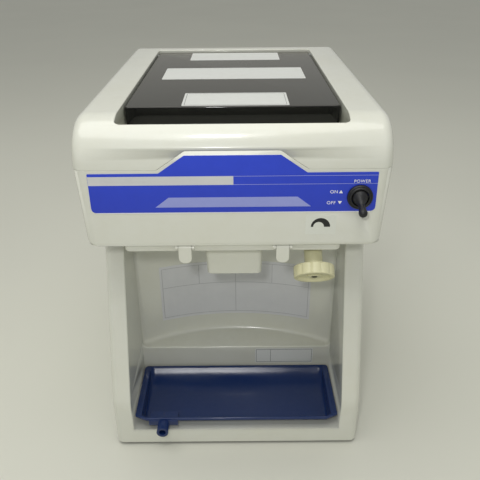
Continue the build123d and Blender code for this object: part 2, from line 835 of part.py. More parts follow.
with BuildPart() as impeller:
    with BuildSketch(bowl_plane.offset(vane_z)):
        Circle(hub_radius)
    extrude(amount=hub_height)
    fillet(impeller.edges().group_by(Axis.Z)[-1], radius=hub_round)
    with BuildSketch(bowl_plane.offset(vane_z)):
        with PolarLocations(0, vane_count, start_angle=vane_start):
            with Locations((0, (bowl_radius - vane_clearance) / 2)):
                Rectangle(vane_thickness, bowl_radius - vane_clearance - vane_tip_round)
    extrude(amount=vane_height)
    with BuildSketch(bowl_plane.offset(vane_z)):
        Circle(shaft_radius)
    extrude(amount=hub_height - hub_cap, mode=Mode.SUBTRACT)
impeller.part.label = "impeller"
export_step(impeller.part, "parts/impeller.step")

with BuildPart() as impeller_shaft:
    with BuildSketch(bowl_plane.offset(shaft_foot)):
        Circle(shaft_radius)
    extrude(amount=vane_z + hub_height - hub_cap - shaft_foot)
    chamfer(impeller_shaft.edges().group_by(Axis.Z)[0], length=shaft_chamfer)
impeller_shaft.part.label = "impeller_shaft"
export_step(impeller_shaft.part, "parts/impeller_shaft.step")

with BuildPart() as shaft_bearing:
    with BuildSketch(bowl_plane.offset(plate_top - bearing_height)):
        Circle(bearing_radius)
        Circle(shaft_radius + running_gap, mode=Mode.SUBTRACT)
    extrude(amount=bearing_height)
shaft_bearing.part.label = "shaft_bearing"
export_step(shaft_bearing.part, "parts/shaft_bearing.step")

with BuildPart() as drive_gear:
    with BuildSketch(bowl_plane.offset(gear_z)):
        add(gear_face(gear_teeth, shaft_radius, 0))
    extrude(amount=gear_width)
    with BuildSketch(bowl_plane.offset(gear_z + gear_width)):
        Circle(gear_web_outer)
        Circle(gear_web_inner, mode=Mode.SUBTRACT)
    extrude(amount=-gear_web_depth, mode=Mode.SUBTRACT)
drive_gear.part.label = "drive_gear"
export_step(drive_gear.part, "parts/drive_gear.step")

with BuildPart() as motor_pinion:
    with BuildSketch(motor_plane.offset(gear_z)):
        add(gear_face(pinion_teeth, motor_shaft_radius, 180 / pinion_teeth))
    extrude(amount=gear_width)
motor_pinion.part.label = "motor_pinion"
export_step(motor_pinion.part, "parts/motor_pinion.step")


def case_outline(shrink):
    """The belt-shaped outline round both gears."""
    with BuildSketch() as circles:
        Circle(gear_case_radius - shrink)
        with Locations((0, gear_distance)):
            Circle(pinion_case_radius - shrink)
        make_hull()
    return circles.sketch


with BuildPart() as gear_case:
    with BuildSketch(bowl_plane.offset(gear_case_z)):
        add(case_outline(0))
    extrude(amount=plate_z - gear_case_z)
    with BuildSketch(bowl_plane.offset(gear_case_z + gear_case_floor)):
        add(case_outline(gear_case_wall))
    extrude(amount=plate_z - gear_case_z, mode=Mode.SUBTRACT)
    with BuildSketch(Plane.XY.offset(gear_case_z)):
        with Locations(*case_screw_places):
            Circle(case_ear_radius)
    extrude(amount=plate_z - gear_case_z)
    with BuildSketch(bowl_plane.offset(gear_case_z + gear_case_floor)):
        add(case_outline(gear_case_wall))
    extrude(amount=plate_z - gear_case_z, mode=Mode.SUBTRACT)
    with BuildSketch(bowl_plane.offset(gear_case_z)):
        Circle(shaft_radius + running_gap)
        with Locations((0, gear_distance)):
            Circle(motor_spigot_radius)
            with PolarLocations(motor_screw_circle_radius, motor_screw_count):
                Circle(motor_screw_radius + seat_gap)
    with BuildSketch(Plane.XY.offset(gear_case_z)):
        with Locations(*case_screw_places):
            Circle(case_screw_radius + seat_gap)
    extrude(amount=plate_z - gear_case_z, mode=Mode.SUBTRACT)
gear_case.part.label = "gear_case"
export_step(gear_case.part, "parts/gear_case.step")

# ---------------------------------------------------------------- motor
motor_foot = motor_top - motor_length
fan_z = motor_foot + bell_height + fan_lift

motor_screw_places = [
    motor_plane.location * place
    for place in PolarLocations(motor_screw_circle_radius, motor_screw_count).locations
]

with BuildPart() as motor_housing:
    with BuildSketch(motor_plane.offset(motor_foot + bell_height)):
        Circle(motor_radius)
        Circle(motor_radius - motor_wall, mode=Mode.SUBTRACT)
    extrude(amount=motor_length - 2 * bell_height)
motor_housing.part.label = "motor_housing"
export_step(motor_housing.part, "parts/motor_housing.step")


def end_bell(outer_z, direction, spigot):
    """A motor end bell whose outer face is at outer_z, with its body along direction."""
    with BuildPart() as bell:
        with BuildSketch(motor_plane.offset(outer_z)):
            Circle(motor_radius)
        extrude(amount=direction * bell_height)
        with BuildSketch(motor_plane.offset(outer_z + direction * bell_height)):
            Circle(motor_radius - motor_wall - bell_rim)
            Circle(motor_bearing_radius + bell_web, mode=Mode.SUBTRACT)
        extrude(amount=-direction * (bell_height - bell_web), mode=Mode.SUBTRACT)
        with BuildSketch(motor_plane.offset(outer_z)):
            Circle(spigot)
        extrude(amount=-direction * gear_case_floor)
        with BuildSketch(motor_plane.offset(outer_z + direction * bell_height)):
            Circle(motor_bearing_radius)
        extrude(amount=-direction * motor_bearing_height, mode=Mode.SUBTRACT)
        with BuildSketch(motor_plane.offset(outer_z + direction * bell_height)):
            Circle(motor_shaft_radius + bell_shaft_gap)
        extrude(amount=-direction * (bell_height + gear_case_floor), mode=Mode.SUBTRACT)
        with BuildSketch(motor_plane.offset(outer_z)):
            with PolarLocations(bell_vent_circle_radius, bell_vents, start_angle=bell_vent_start):
                Circle(bell_vent_radius)
            with PolarLocations(motor_screw_circle_radius, motor_screw_count):
                Circle(motor_screw_radius)
        extrude(amount=direction * bell_height, mode=Mode.SUBTRACT)
    return bell.part


motor_top_bell = end_bell(motor_top, -1, motor_spigot_radius)
motor_top_bell.label = "motor_top_bell"
export_step(motor_top_bell, "parts/motor_top_bell.step")

motor_foot_bell = end_bell(motor_foot, 1, motor_spigot_radius)
motor_foot_bell.label = "motor_foot_bell"
export_step(motor_foot_bell, "parts/motor_foot_bell.step")

with BuildPart() as motor_bearings:
    for z in (motor_top - bell_height, motor_foot + bell_height - motor_bearing_height):
        with BuildSketch(motor_plane.offset(z)):
            Circle(motor_bearing_radius)
            Circle(motor_shaft_radius + running_gap, mode=Mode.SUBTRACT)
        extrude(amount=motor_bearing_height)
motor_bearings.part.label = "motor_bearings"
export_step(motor_bearings.part, "parts/motor_bearings.step")

stator_z = motor_foot + (motor_length - stator_height) / 2 + stator_lift

with BuildPart() as motor_stator:
    with BuildSketch(motor_plane.offset(stator_z)):
        Circle(motor_radius - motor_wall)
        Circle(stator_inner, mode=Mode.SUBTRACT)
        with PolarLocations(stator_inner, stator_slots):
            Rectangle(2 * slot_depth, stator_slot_width, mode=Mode.SUBTRACT)
    extrude(amount=stator_height)
motor_stator.part.label = "motor_stator"
export_step(motor_stator.part, "parts/motor_stator.step")

with BuildPart() as motor_windings:
    for z in (stator_z - winding_height, stator_z + stator_height):
        with BuildSketch(motor_plane.offset(z)):
            Circle(motor_radius - motor_wall - winding_gap)
            Circle(stator_inner + winding_gap, mode=Mode.SUBTRACT)
        extrude(amount=winding_height)
motor_windings.part.label = "motor_windings"
export_step(motor_windings.part, "parts/motor_windings.step")

with BuildPart() as motor_rotor:
    with BuildSketch(motor_plane.offset(stator_z)):
        Circle(rotor_radius)
        Circle(motor_shaft_radius, mode=Mode.SUBTRACT)
    extrude(amount=stator_height)
motor_rotor.part.label = "motor_rotor"
export_step(motor_rotor.part, "parts/motor_rotor.step")

with BuildPart() as motor_shaft:
    with BuildSketch(motor_plane.offset(motor_foot + bell_web)):
        Circle(motor_shaft_radius)
    extrude(amount=gear_z + gear_width + shaft_spare - motor_foot - bell_web)
    chamfer(motor_shaft.edges().group_by(Axis.Z)[-1], length=shaft_chamfer)
motor_shaft.part.label = "motor_shaft"
export_step(motor_shaft.part, "parts/motor_shaft.step")

with BuildPart() as motor_fan:
    with BuildSketch(motor_plane.offset(fan_z)):
        Circle(fan_hub_radius)
    extrude(amount=fan_height)
    with BuildSketch(motor_plane.offset(fan_z)):
        with PolarLocations(fan_radius / 2, fan_blades):
            Rectangle(fan_radius - fan_tip_gap, fan_blade)
    extrude(amount=fan_height)
    with BuildSketch(motor_plane.offset(fan_z)):
        Circle(fan_radius)
    extrude(amount=fan_disc)
    with BuildSketch(motor_plane.offset(fan_z)):
        Circle(motor_shaft_radius)
    extrude(amount=fan_height, mode=Mode.SUBTRACT)
motor_fan.part.label = "motor_fan"
export_step(motor_fan.part, "parts/motor_fan.step")

# ---------------------------------------------------------------- ice chute and guard under the head
guard_z = casing_z - guard_height
chute_z = casing_z - chute_drop


def chute_form(shrink):
    """The chute's outer shape, or its bore, from its mouth up to the base plate."""
    mouth = (chute_foot[0] - 2 * shrink, chute_foot[1] - 2 * shrink)
    head = (chute_top[0] - 2 * shrink, chute_top[1] - 2 * shrink)
    with BuildPart() as form:
        with BuildSketch(Plane.XY.offset(chute_z)):
            with Locations((0, behind(chute_front + chute_foot[1] / 2))):
                RectangleRounded(mouth[0], mouth[1], chute_corner - shrink)
        with BuildSketch(Plane.XY.offset(casing_z)):
            with Locations((0, chute_middle)):
                RectangleRounded(head[0], head[1], chute_corner - shrink)
        loft()
        with BuildSketch(Plane.XY.offset(casing_z)):
            with Locations((0, chute_middle)):
                RectangleRounded(head[0], head[1], chute_corner - shrink)
        extrude(amount=plate_rise)
    return form.part


with BuildPart() as ice_chute:
    add(chute_form(0))
    add(chute_form(chute_wall), mode=Mode.SUBTRACT)
    # the blade's lever comes in through this window
    with BuildSketch(Plane.XY.offset(plate_z)):
        with Locations((chute_top[0] / 2, behind(blade_middle))):
            Rectangle(4 * chute_wall, blade_length + 2 * window_gap)
    extrude(amount=-window_height, mode=Mode.SUBTRACT)
ice_chute.part.label = "ice_chute"
export_step(ice_chute.part, "parts/ice_chute.step")

latch_places = [-latch_x, latch_x]
ear_offsets = [side * (latch_width / 2 + fit_gap + latch_ear / 2) for side in (-1, 1)]
ear_places = [place + offset for place in latch_places for offset in ear_offsets]
latch_axis = (behind(guard_front - latch_barrel - fit_gap), casing_z - latch_barrel - fit_gap)

latch_plate_y = latch_axis[0] - latch_barrel + latch_thickness / 2

with BuildPart() as chute_guard:
    with BuildSketch(Plane.XY.offset(guard_z)):
        with Locations(((guard_left + guard_right) / 2, behind((guard_front + guard_back) / 2))):
            RectangleRounded(guard_right - guard_left, guard_back - guard_front, guard_corner)
    extrude(amount=guard_height)
    fillet(chute_guard.edges().group_by(Axis.Z)[0], radius=guard_edge)
    with BuildSketch(Plane.XY.offset(guard_z + guard_wall)):
        with Locations(((guard_left + guard_right) / 2, behind((guard_front + guard_back) / 2))):
            RectangleRounded(
                guard_right - guard_left - 2 * guard_wall,
                guard_back - guard_front - 2 * guard_wall,
                guard_corner - guard_edge,
            )
    extrude(amount=guard_height, mode=Mode.SUBTRACT)
    with BuildSketch(Plane.YZ):
        with Locations((latch_axis[0] + latch_barrel, latch_axis[1])):
            Rectangle(2 * latch_barrel, 2 * latch_barrel)
        with Locations(latch_axis):
            Circle(latch_barrel)
    ear = extrude(amount=latch_ear / 2, both=True, mode=Mode.PRIVATE)
    for place in ear_places:
        add(Pos(place, 0, 0) * ear)
    with BuildSketch(Plane.XY.offset(guard_z)):
        with Locations((0, chute_middle)):
            RectangleRounded(chute_top[0] + 2 * seat_gap, chute_top[1] + 2 * seat_gap, chute_corner)
    extrude(amount=guard_wall, mode=Mode.SUBTRACT)
    with BuildSketch(on_knob(0)):
        Circle(bush_radius + fit_gap)
    extrude(amount=knob_reach, mode=Mode.SUBTRACT)
    with BuildSketch(Plane.YZ.offset(-head_width / 2)):
        with Locations(latch_axis):
            Circle(latch_pin_radius)
    extrude(amount=head_width, mode=Mode.SUBTRACT)
chute_guard.part.label = "chute_guard"
export_step(chute_guard.part, "parts/chute_guard.step")

with BuildPart() as latch_pins:
    for place in latch_places:
        with BuildSketch(Plane.YZ.offset(place)):
            with Locations(latch_axis):
                Circle(latch_pin_radius)
        extrude(amount=latch_width / 2 + fit_gap + latch_ear, both=True)
latch_pins.part.label = "latch_pins"
export_step(latch_pins.part, "parts/latch_pins.step")

for side, place in (("left", -latch_x), ("right", latch_x)):
    with BuildPart() as latch:
        with BuildSketch(Plane.YZ.offset(place)):
            with Locations(latch_axis):
                Circle(latch_barrel)
            with Locations((latch_plate_y, latch_axis[1] - latch_drop / 2)):
                Rectangle(latch_thickness, latch_drop)
        extrude(amount=latch_width / 2, both=True)
        tips = latch.edges().filter_by(Axis.Y).group_by(Axis.Z)[0]
        fillet(tips, radius=latch_tip)
        with BuildSketch(Plane.YZ.offset(place)):
            with Locations(latch_axis):
                Circle(latch_pin_radius + running_gap)
        extrude(amount=latch_width, both=True, mode=Mode.SUBTRACT)
    latch.part.label = f"latch_{side}"
    export_step(latch.part, f"parts/latch_{side}.step")

# ---------------------------------------------------------------- blade and its lever
slope = Vector(cos(radians(blade_pitch)), -sin(radians(blade_pitch)))
outward = Vector(-sin(radians(blade_pitch)), -cos(radians(blade_pitch)))
edge = Vector(blade_tip_x, plate_top + blade_rise)
blade_end = edge + slope * blade_width
blade_screw_spot = edge + slope * blade_screw_down
blade_screw_depths = [blade_middle - blade_screw_spacing / 2, blade_middle + blade_screw_spacing / 2]
blade_front = Plane.XZ.offset(-behind(blade_middle - blade_length / 2))


def blade_screw_plane(depth):
    """A plane on the blade's outer face, where a screw's axis passes through it."""
    spot = blade_screw_spot + outward * blade_thickness
    return Plane(origin=(spot.X, behind(depth), spot.Y), x_dir=(0, 1, 0), z_dir=(outward.X, 0, outward.Y))


with BuildPart() as blade:
    with BuildSketch(blade_front):
        with BuildLine():
            Polyline(
                edge,
                blade_end,
                blade_end + outward * blade_thickness,
                edge + slope * blade_bevel + outward * blade_thickness,
                close=True,
            )
        make_face()
    extrude(amount=-blade_length)
    for depth in blade_screw_depths:
        with BuildSketch(blade_screw_plane(depth)):
            Circle(blade_screw_radius)
        extrude(amount=-2 * blade_thickness, mode=Mode.SUBTRACT)
blade.part.label = "blade"
export_step(blade.part, "parts/blade.step")

with BuildPart() as blade_lever:
    with BuildSketch(blade_front):
        with BuildLine():
            Polyline(
                edge + slope * lever_head_start,
                blade_end + slope * lever_tail,
                (lever_head_end, lever_pivot_z - lever_thickness / 2),
                (lever_head_end, lever_pivot_z + lever_thickness / 2),
                (lever_head_end - lever_web_inset, edge.Y - lever_head_start * sin(radians(blade_pitch))),
                close=True,
            )
        make_face()
    extrude(amount=-blade_length)
    with BuildSketch(Plane.XY.offset(lever_pivot_z - lever_thickness / 2)):
        with Locations(((lever_head_end + lever_bar_end) / 2 - lever_overlap, behind(blade_middle))):
            Rectangle(lever_bar_end - lever_head_end + 2 * lever_overlap, lever_bar_width)
        with Locations((lever_bar_end - lug_width / 2, behind((lug_front + blade_middle) / 2))):
            Rectangle(lug_width, blade_middle - lug_front + lever_bar_width)
    extrude(amount=lever_thickness)
    with BuildSketch(Plane.XZ.offset(-behind(blade_middle))):
        with Locations((lever_pivot_x, lever_pivot_z)):
            Circle(lever_boss_radius)
    extrude(amount=ear_spacing / 2 - fit_gap, both=True)
    with BuildSketch(Plane.XZ.offset(-behind(blade_middle))):
        with Locations((lever_pivot_x, lever_pivot_z)):
            Circle(lever_pin_radius + running_gap)
    extrude(amount=ear_spacing, both=True, mode=Mode.SUBTRACT)
    for depth in blade_screw_depths:
        with BuildSketch(blade_screw_plane(depth)):
            Circle(blade_screw_radius)
        extrude(amount=-blade_screw_length, mode=Mode.SUBTRACT)
blade_lever.part.label = "blade_lever"
export_step(blade_lever.part, "parts/blade_lever.step")

with BuildPart() as blade_screws:
    for depth in blade_screw_depths:
        with BuildSketch(blade_screw_plane(depth)):
            Circle(blade_screw_radius)
        extrude(amount=-blade_screw_length)
        with BuildSketch(blade_screw_plane(depth)):
            Circle(2 * blade_screw_radius)
        extrude(amount=blade_screw_radius)
blade_screws.part.label = "blade_screws"
export_step(blade_screws.part, "parts/blade_screws.step")

with BuildPart() as lever_pin:
    with BuildSketch(Plane.XZ.offset(-behind(ear_depths[0]))):
        with Locations((lever_pivot_x, lever_pivot_z)):
            Circle(lever_pin_radius)
    extrude(amount=-(ear_spacing + 2 * ear_thickness))
lever_pin.part.label = "lever_pin"
export_step(lever_pin.part, "parts/lever_pin.step")

# ---------------------------------------------------------------- adjusting knob
with BuildPart() as adjust_knob:
    with BuildSketch(on_knob(0)):
        Circle(knob_radius - knob_flute_depth)
        with PolarLocations(knob_radius - knob_lobe_radius, knob_lobes):
            Circle(knob_lobe_radius)
    extrude(amount=knob_width)
    with BuildSketch(on_knob(0)):
        Circle(knob_dish_radius)
    extrude(amount=knob_dish_depth, mode=Mode.SUBTRACT)
    with BuildSketch(on_knob(knob_dish_depth)):
        Circle(knob_boss_radius)
    extrude(amount=-(knob_dish_depth - knob_boss_gap))
    with BuildSketch(on_knob(knob_width)):
        Circle(knob_collar_radius)
    extrude(amount=knob_collar_length)
    with BuildSketch(on_knob(knob_boss_gap)):
        Circle(knob_rod_radius)
    extrude(amount=knob_width + knob_collar_length, mode=Mode.SUBTRACT)
adjust_knob.part.label = "adjust_knob"
export_step(adjust_knob.part, "parts/adjust_knob.step")

rod_end = (lever_pivot_z - lever_thickness / 2 - fit_gap - knob_face.Z) / knob_up.Z - knob_rod_radius

with BuildPart() as knob_rod:
    with BuildSketch(on_knob(knob_boss_gap)):
        Circle(knob_rod_radius)
    extrude(amount=rod_end - knob_boss_gap)
    chamfer(knob_rod.edges().group_by(Axis.Z)[-1], length=knob_rod_chamfer)
knob_rod.part.label = "knob_rod"
export_step(knob_rod.part, "parts/knob_rod.step")

with BuildPart() as knob_bush:
    with BuildSketch(on_knob(knob_reach - bush_length)):
        Circle(bush_radius)
        Circle(knob_collar_radius + running_gap, mode=Mode.SUBTRACT)
    extrude(amount=bush_length - fit_gap)
knob_bush.part.label = "knob_bush"
export_step(knob_bush.part, "parts/knob_bush.step")

with BuildPart() as knob_clip:
    with BuildSketch(on_knob(knob_reach)):
        Circle(knob_clip_radius)
        Circle(knob_rod_radius, mode=Mode.SUBTRACT)
    extrude(amount=knob_clip_thickness)
knob_clip.part.label = "knob_clip"
export_step(knob_clip.part, "parts/knob_clip.step")

# ---------------------------------------------------------------- power switch
lever_direction = Vector(0, -cos(radians(lever_tilt)), -sin(radians(lever_tilt)))
pivot_point = Vector(switch_x, front_y - pivot_reach, switch_z)


def on_lever(distance):
    """A plane square to the switch lever, this far from its pivot."""
    return Plane(origin=pivot_point + lever_direction * distance, x_dir=(1, 0, 0), z_dir=lever_direction)


toggle_plane = Plane(origin=pivot_point, x_dir=(0, 1, 0), z_dir=(1, 0, 0))

with BuildPart() as toggle_pin:
    with BuildSketch(toggle_plane):
        Circle(toggle_pin_radius)
    extrude(amount=toggle_pin_half, both=True)
toggle_pin.part.label = "toggle_pin"
export_step(toggle_pin.part, "parts/toggle_pin.step")

with BuildPart() as switch_boot:
    with BuildSketch(switch_axis.offset(panel_thickness)):
        Circle(boot_radius)
    extrude(amount=boot_height)
    fillet(switch_boot.edges().group_by(Axis.Y)[0], radius=boot_round)
    with BuildSketch(switch_axis.offset(panel_thickness)):
        Circle(dome_radius + fit_gap)
    extrude(amount=boot_height, mode=Mode.SUBTRACT)
    # a groove in the boot's foot holds the pin's ends
    with BuildSketch(switch_axis.offset(panel_thickness)):
        Rectangle(2 * (toggle_pin_half + running_gap), 2 * (toggle_pin_radius + running_gap))
    extrude(amount=pivot_reach + toggle_pin_radius + running_gap - panel_thickness, mode=Mode.SUBTRACT)
switch_boot.part.label = "switch_boot"
export_step(switch_boot.part, "parts/switch_boot.step")

with BuildPart() as switch_lever:
    with Locations(pivot_point):
        Sphere(dome_radius, rotation=(0, 0, seam_turn))
    with BuildSketch(on_lever(dome_radius - neck_root)):
        Circle(neck_foot)
    with BuildSketch(on_lever(neck_reach)):
        Circle(neck_radius)
    loft()
    with BuildSketch(on_lever(neck_reach)):
        Circle(neck_radius)
    with BuildSketch(on_lever(lever_length - tip_radius)):
        Circle(tip_radius)
    loft()
    with Locations(pivot_point + lever_direction * (lever_length - tip_radius)):
        Sphere(tip_radius)
    with BuildSketch(toggle_plane):
        Circle(toggle_pin_radius + running_gap)
    extrude(amount=dome_radius, both=True, mode=Mode.SUBTRACT)
switch_lever.part.label = "switch_lever"
export_step(switch_lever.part, "parts/switch_lever.step")

with BuildPart() as switch_body:
    with BuildSketch(switch_axis.offset(-wall)):
        Rectangle(switch_box[0], switch_box[2])
    extrude(amount=-switch_box[1])
    with Locations(pivot_point):
        Sphere(dome_radius + fit_gap, mode=Mode.SUBTRACT)
    with BuildSketch(switch_axis.offset(-wall - switch_box[1])):
        with GridLocations(switch_box[0] / 2, switch_box[2] / 3, 2, 3):
            Rectangle(terminal_thickness, terminal_width)
    extrude(amount=-terminal_length)
switch_body.part.label = "switch_body"
export_step(switch_body.part, "parts/switch_body.step")

with BuildPart() as lid_switch:
    with BuildSketch(Plane.XY.offset(hopper_top - hopper_wall)):
        with Locations((magnet_x - sensor_shift, behind(magnet_depth))):
            Rectangle(sensor_size[0], sensor_size[1])
    extrude(amount=-sensor_size[2])
    fillet(lid_switch.edges().filter_by(Axis.Z), radius=sensor_round)
lid_switch.part.label = "lid_switch"
export_step(lid_switch.part, "parts/lid_switch.step")

# ---------------------------------------------------------------- stand
lean_angle = atan((column_lean - toe_depth) / (stand_height - toe_height))
rail_z = stand_z + rail_height
stand_middle = behind((toe_depth + stand_back) / 2)


def stand_form(inset):
    """The stand's outer shape, drawn in by the inset; a drawn-in one is longer below."""
    upright = behind(toe_depth + inset)
    lean = inset / cos(lean_angle)
    knee_z = stand_z + toe_height + (lean - inset) / tan(lean_angle)
    top = casing_z - inset
    top_y = behind(toe_depth + lean) + (top - stand_z - toe_height) * tan(lean_angle)
    with BuildPart() as form:
        with BuildSketch(Plane.YZ.offset(inset - stand_width / 2)) as side:
            with BuildLine():
                Polyline(
                    (upright, stand_z - inset),
                    (upright, knee_z),
                    (top_y, top),
                    (behind(stand_back - inset), top),
                    (behind(stand_back - inset), stand_z - inset),
                    close=True,
                )
            make_face()
            knee = side.vertices().sort_by_distance((upright, knee_z))[0]
            fillet(knee, radius=lean_radius)
        extrude(amount=stand_width - 2 * inset)
        flanks = form.faces().filter_by(Axis.X).edges()
        uprights = flanks.filter_by(lambda e: stand_z + margin < e.center().Z < top - margin)
        fillet(uprights, radius=stand_corner - inset)
    return form.part


def bay_form(grow):
    """The space that the cup stands in, larger by grow on its closed sides."""
    half = bay_width / 2 + grow
    side = behind(wall_side) + grow
    front = behind(-wall)
    above = casing_z + wall
    with BuildPart() as upper:
        with BuildSketch(Plane.XY.offset(rail_z)):
            with BuildLine():
                Polyline((-half, side), (-half, front), (half, front), (half, side))
                ThreePointArc((half, side), (0, behind(wall_middle) + grow), (-half, side))
            make_face()
        extrude(amount=above - rail_z)
        ledge = Plane(
            origin=(0, behind(ledge_front), stand_z + ledge_height - grow),
            x_dir=(1, 0, 0),
            z_dir=(0, -sin(radians(ledge_slope)), cos(radians(ledge_slope))),
        )
        split(bisect_by=ledge, keep=Keep.TOP)
        hollows = upper.edges().filter_by(
            lambda e: e.center().Z < above - margin and e.center().Y > behind(ledge_front) / 2 + front / 2
        )
        fillet(hollows, radius=ledge_round + grow)
    with BuildPart() as bay:
        with BuildSketch(Plane.XY.offset(rail_z - grow)):
            with Locations((0, (front + behind(ledge_front) + grow) / 2)):
                Rectangle(2 * half, behind(ledge_front) + grow - front)
        extrude(amount=above - rail_z + grow)
        add(upper.part)
    return bay.part


rear_cover_middle = rear_cover_z + rear_cover_height / 2
rear_screw_places = [
    (x, rear_cover_middle + z)
    for x in (-rear_cover_width / 2 + rear_rim / 2, rear_cover_width / 2 - rear_rim / 2)
    for z in (-rear_cover_height / 2 + rear_rim / 2, rear_cover_height / 2 - rear_rim / 2)
]

with BuildPart() as stand:
    add(stand_form(0))
    add(bay_form(0), mode=Mode.SUBTRACT)
    add(stand_form(wall) - bay_form(wall), mode=Mode.SUBTRACT)
    with BuildSketch(Plane.XY.offset(casing_z)):
        with Locations((0, behind(motor_axis))):
            Circle(motor_hole / 2)
        with Locations(*stand_screw_places):
            Circle(stand_screw_radius + seat_gap)
    extrude(amount=-wall, mode=Mode.SUBTRACT)
    with BuildSketch(Plane.XZ.offset(-behind(stand_back))):
        with Locations((0, rear_cover_middle)):
            RectangleRounded(rear_cover_width - 2 * rear_rim, rear_cover_height - 2 * rear_rim, rear_corner)
        with Locations(*rear_screw_places):
            Circle(rear_screw_radius)
        # the cord's gland sits in a notch that is open at the stand's lower edge
        with Locations((gland_x, (stand_z + gland_z + gland_radius) / 2)):
            Rectangle(2 * (gland_radius + fit_gap), gland_z + gland_radius - stand_z + 2 * fit_gap)
    extrude(amount=wall, mode=Mode.SUBTRACT)
stand.part.label = "stand_body"
export_step(stand.part, "parts/stand_body.step")

with BuildPart() as rear_cover:
    with BuildSketch(Plane.XZ.offset(-behind(stand_back))):
        with Locations((0, rear_cover_middle)):
            RectangleRounded(rear_cover_width, rear_cover_height, rear_corner)
            with GridLocations(louvre_length + louvre_gap, louvre_pitch, louvre_columns, louvre_rows):
                SlotOverall(louvre_length, louvre_height, mode=Mode.SUBTRACT)
        with Locations(*rear_screw_places):
            Circle(rear_screw_radius + seat_gap, mode=Mode.SUBTRACT)
    extrude(amount=-rear_cover_thickness)
rear_cover.part.label = "rear_cover"
export_step(rear_cover.part, "parts/rear_cover.step")

with BuildPart() as rear_screws:
    with BuildSketch(Plane.XZ.offset(-behind(stand_back + rear_cover_thickness))):
        with Locations(*rear_screw_places):
            Circle(2 * rear_screw_radius)
    extrude(amount=-rear_screw_radius)
    fillet(rear_screws.edges().group_by(Axis.Y)[-1], radius=rear_screw_round)
    with BuildSketch(Plane.XZ.offset(-behind(stand_back + rear_cover_thickness))):
        with Locations(*rear_screw_places):
            Circle(rear_screw_radius)
    extrude(amount=rear_screw_length)
rear_screws.part.label = "rear_screws"
export_step(rear_screws.part, "parts/rear_screws.step")

with BuildPart() as bottom_plate:
    with BuildSketch(Plane.XY.offset(stand_z)):
        with Locations((0, stand_middle)):
            RectangleRounded(
                stand_width - 2 * (wall + fit_gap),
                stand_back - toe_depth - 2 * (wall + fit_gap),
                stand_corner - wall,
            )
        with Locations(*foot_places):
            Circle(foot_screw_radius, mode=Mode.SUBTRACT)
    extrude(amount=bottom_plate_thickness)
bottom_plate.part.label = "bottom_plate"
export_step(bottom_plate.part, "parts/bottom_plate.step")

with BuildPart() as feet:
    with BuildSketch(Plane.XY):
        with Locations(*foot_places):
            Circle(foot_radius)
    extrude(amount=foot_height)
    fillet(feet.edges().group_by(Axis.Z)[0], radius=foot_round)
    with BuildSketch(Plane.XY.offset(foot_recess)):
        with Locations(*foot_places):
            Circle(foot_screw_radius)
    extrude(amount=foot_height, mode=Mode.SUBTRACT)
    with BuildSketch(Plane.XY):
        with Locations(*foot_places):
            Circle(foot_screw_head + seat_gap)
    extrude(amount=foot_recess, mode=Mode.SUBTRACT)
feet.part.label = "rubber_feet"
export_step(feet.part, "parts/rubber_feet.step")

with BuildPart() as foot_screws:
    with BuildSketch(Plane.XY.offset(foot_recess)):
        with Locations(*foot_places):
            Circle(foot_screw_head)
    extrude(amount=-foot_screw_head_height)
    with BuildSketch(Plane.XY.offset(foot_recess)):
        with Locations(*foot_places):
            Circle(foot_screw_radius)
    extrude(amount=foot_screw_length)
foot_screws.part.label = "foot_screws"
export_step(foot_screws.part, "parts/foot_screws.step")

with BuildPart() as cord_gland:
    gland_back = Plane(origin=(gland_x, behind(stand_back), gland_z), x_dir=(1, 0, 0), z_dir=(0, 1, 0))
    with BuildSketch(gland_back):
        RegularPolygon(gland_nut_radius, 6)
    extrude(amount=gland_nut_height)
    with BuildSketch(gland_back.offset(gland_nut_height)):
        Circle(gland_radius)
    extrude(amount=gland_dome_height)
    fillet(cord_gland.edges().group_by(Axis.Y)[-1], radius=gland_round)
    with BuildSketch(gland_back):
        Circle(gland_radius)
    extrude(amount=-gland_tail)
    with BuildSketch(gland_back.offset(-gland_tail)):
        Circle(gland_bore)
    extrude(amount=gland_tail + gland_nut_height + gland_dome_height, mode=Mode.SUBTRACT)
cord_gland.part.label = "cord_gland"
export_step(cord_gland.part, "parts/cord_gland.step")

# ---------------------------------------------------------------- drip tray
tray_middle = behind(tray_front + tray_depth / 2)
tray_top = tray_z + tray_height
tray_rim_z = tray_top - tray_lip
spout_z = tray_z + spout_rise

def tray_outline(z, side, front, back):
    """The tray's outline at this height, drawn in at its sides, front and back."""
    with BuildSketch(Plane.XY.offset(z)) as outline:
        with Locations((0, tray_middle + (front - back) / 2)):
            Rectangle(tray_width - 2 * side, tray_depth - front - back)
        corners = outline.vertices().group_by(Axis.Y)
        fillet(corners[-1], radius=tray_corner)
        left = outline.vertices().group_by(Axis.Y)[0].sort_by(Axis.X)[0]
        chamfer(left, length=tray_cut[1], length2=tray_cut[0])
        right = outline.vertices().group_by(Axis.Y)[0].sort_by(Axis.X)[-1]
        chamfer(right, length=tray_cut[0], length2=tray_cut[1])
    return outline.sketch


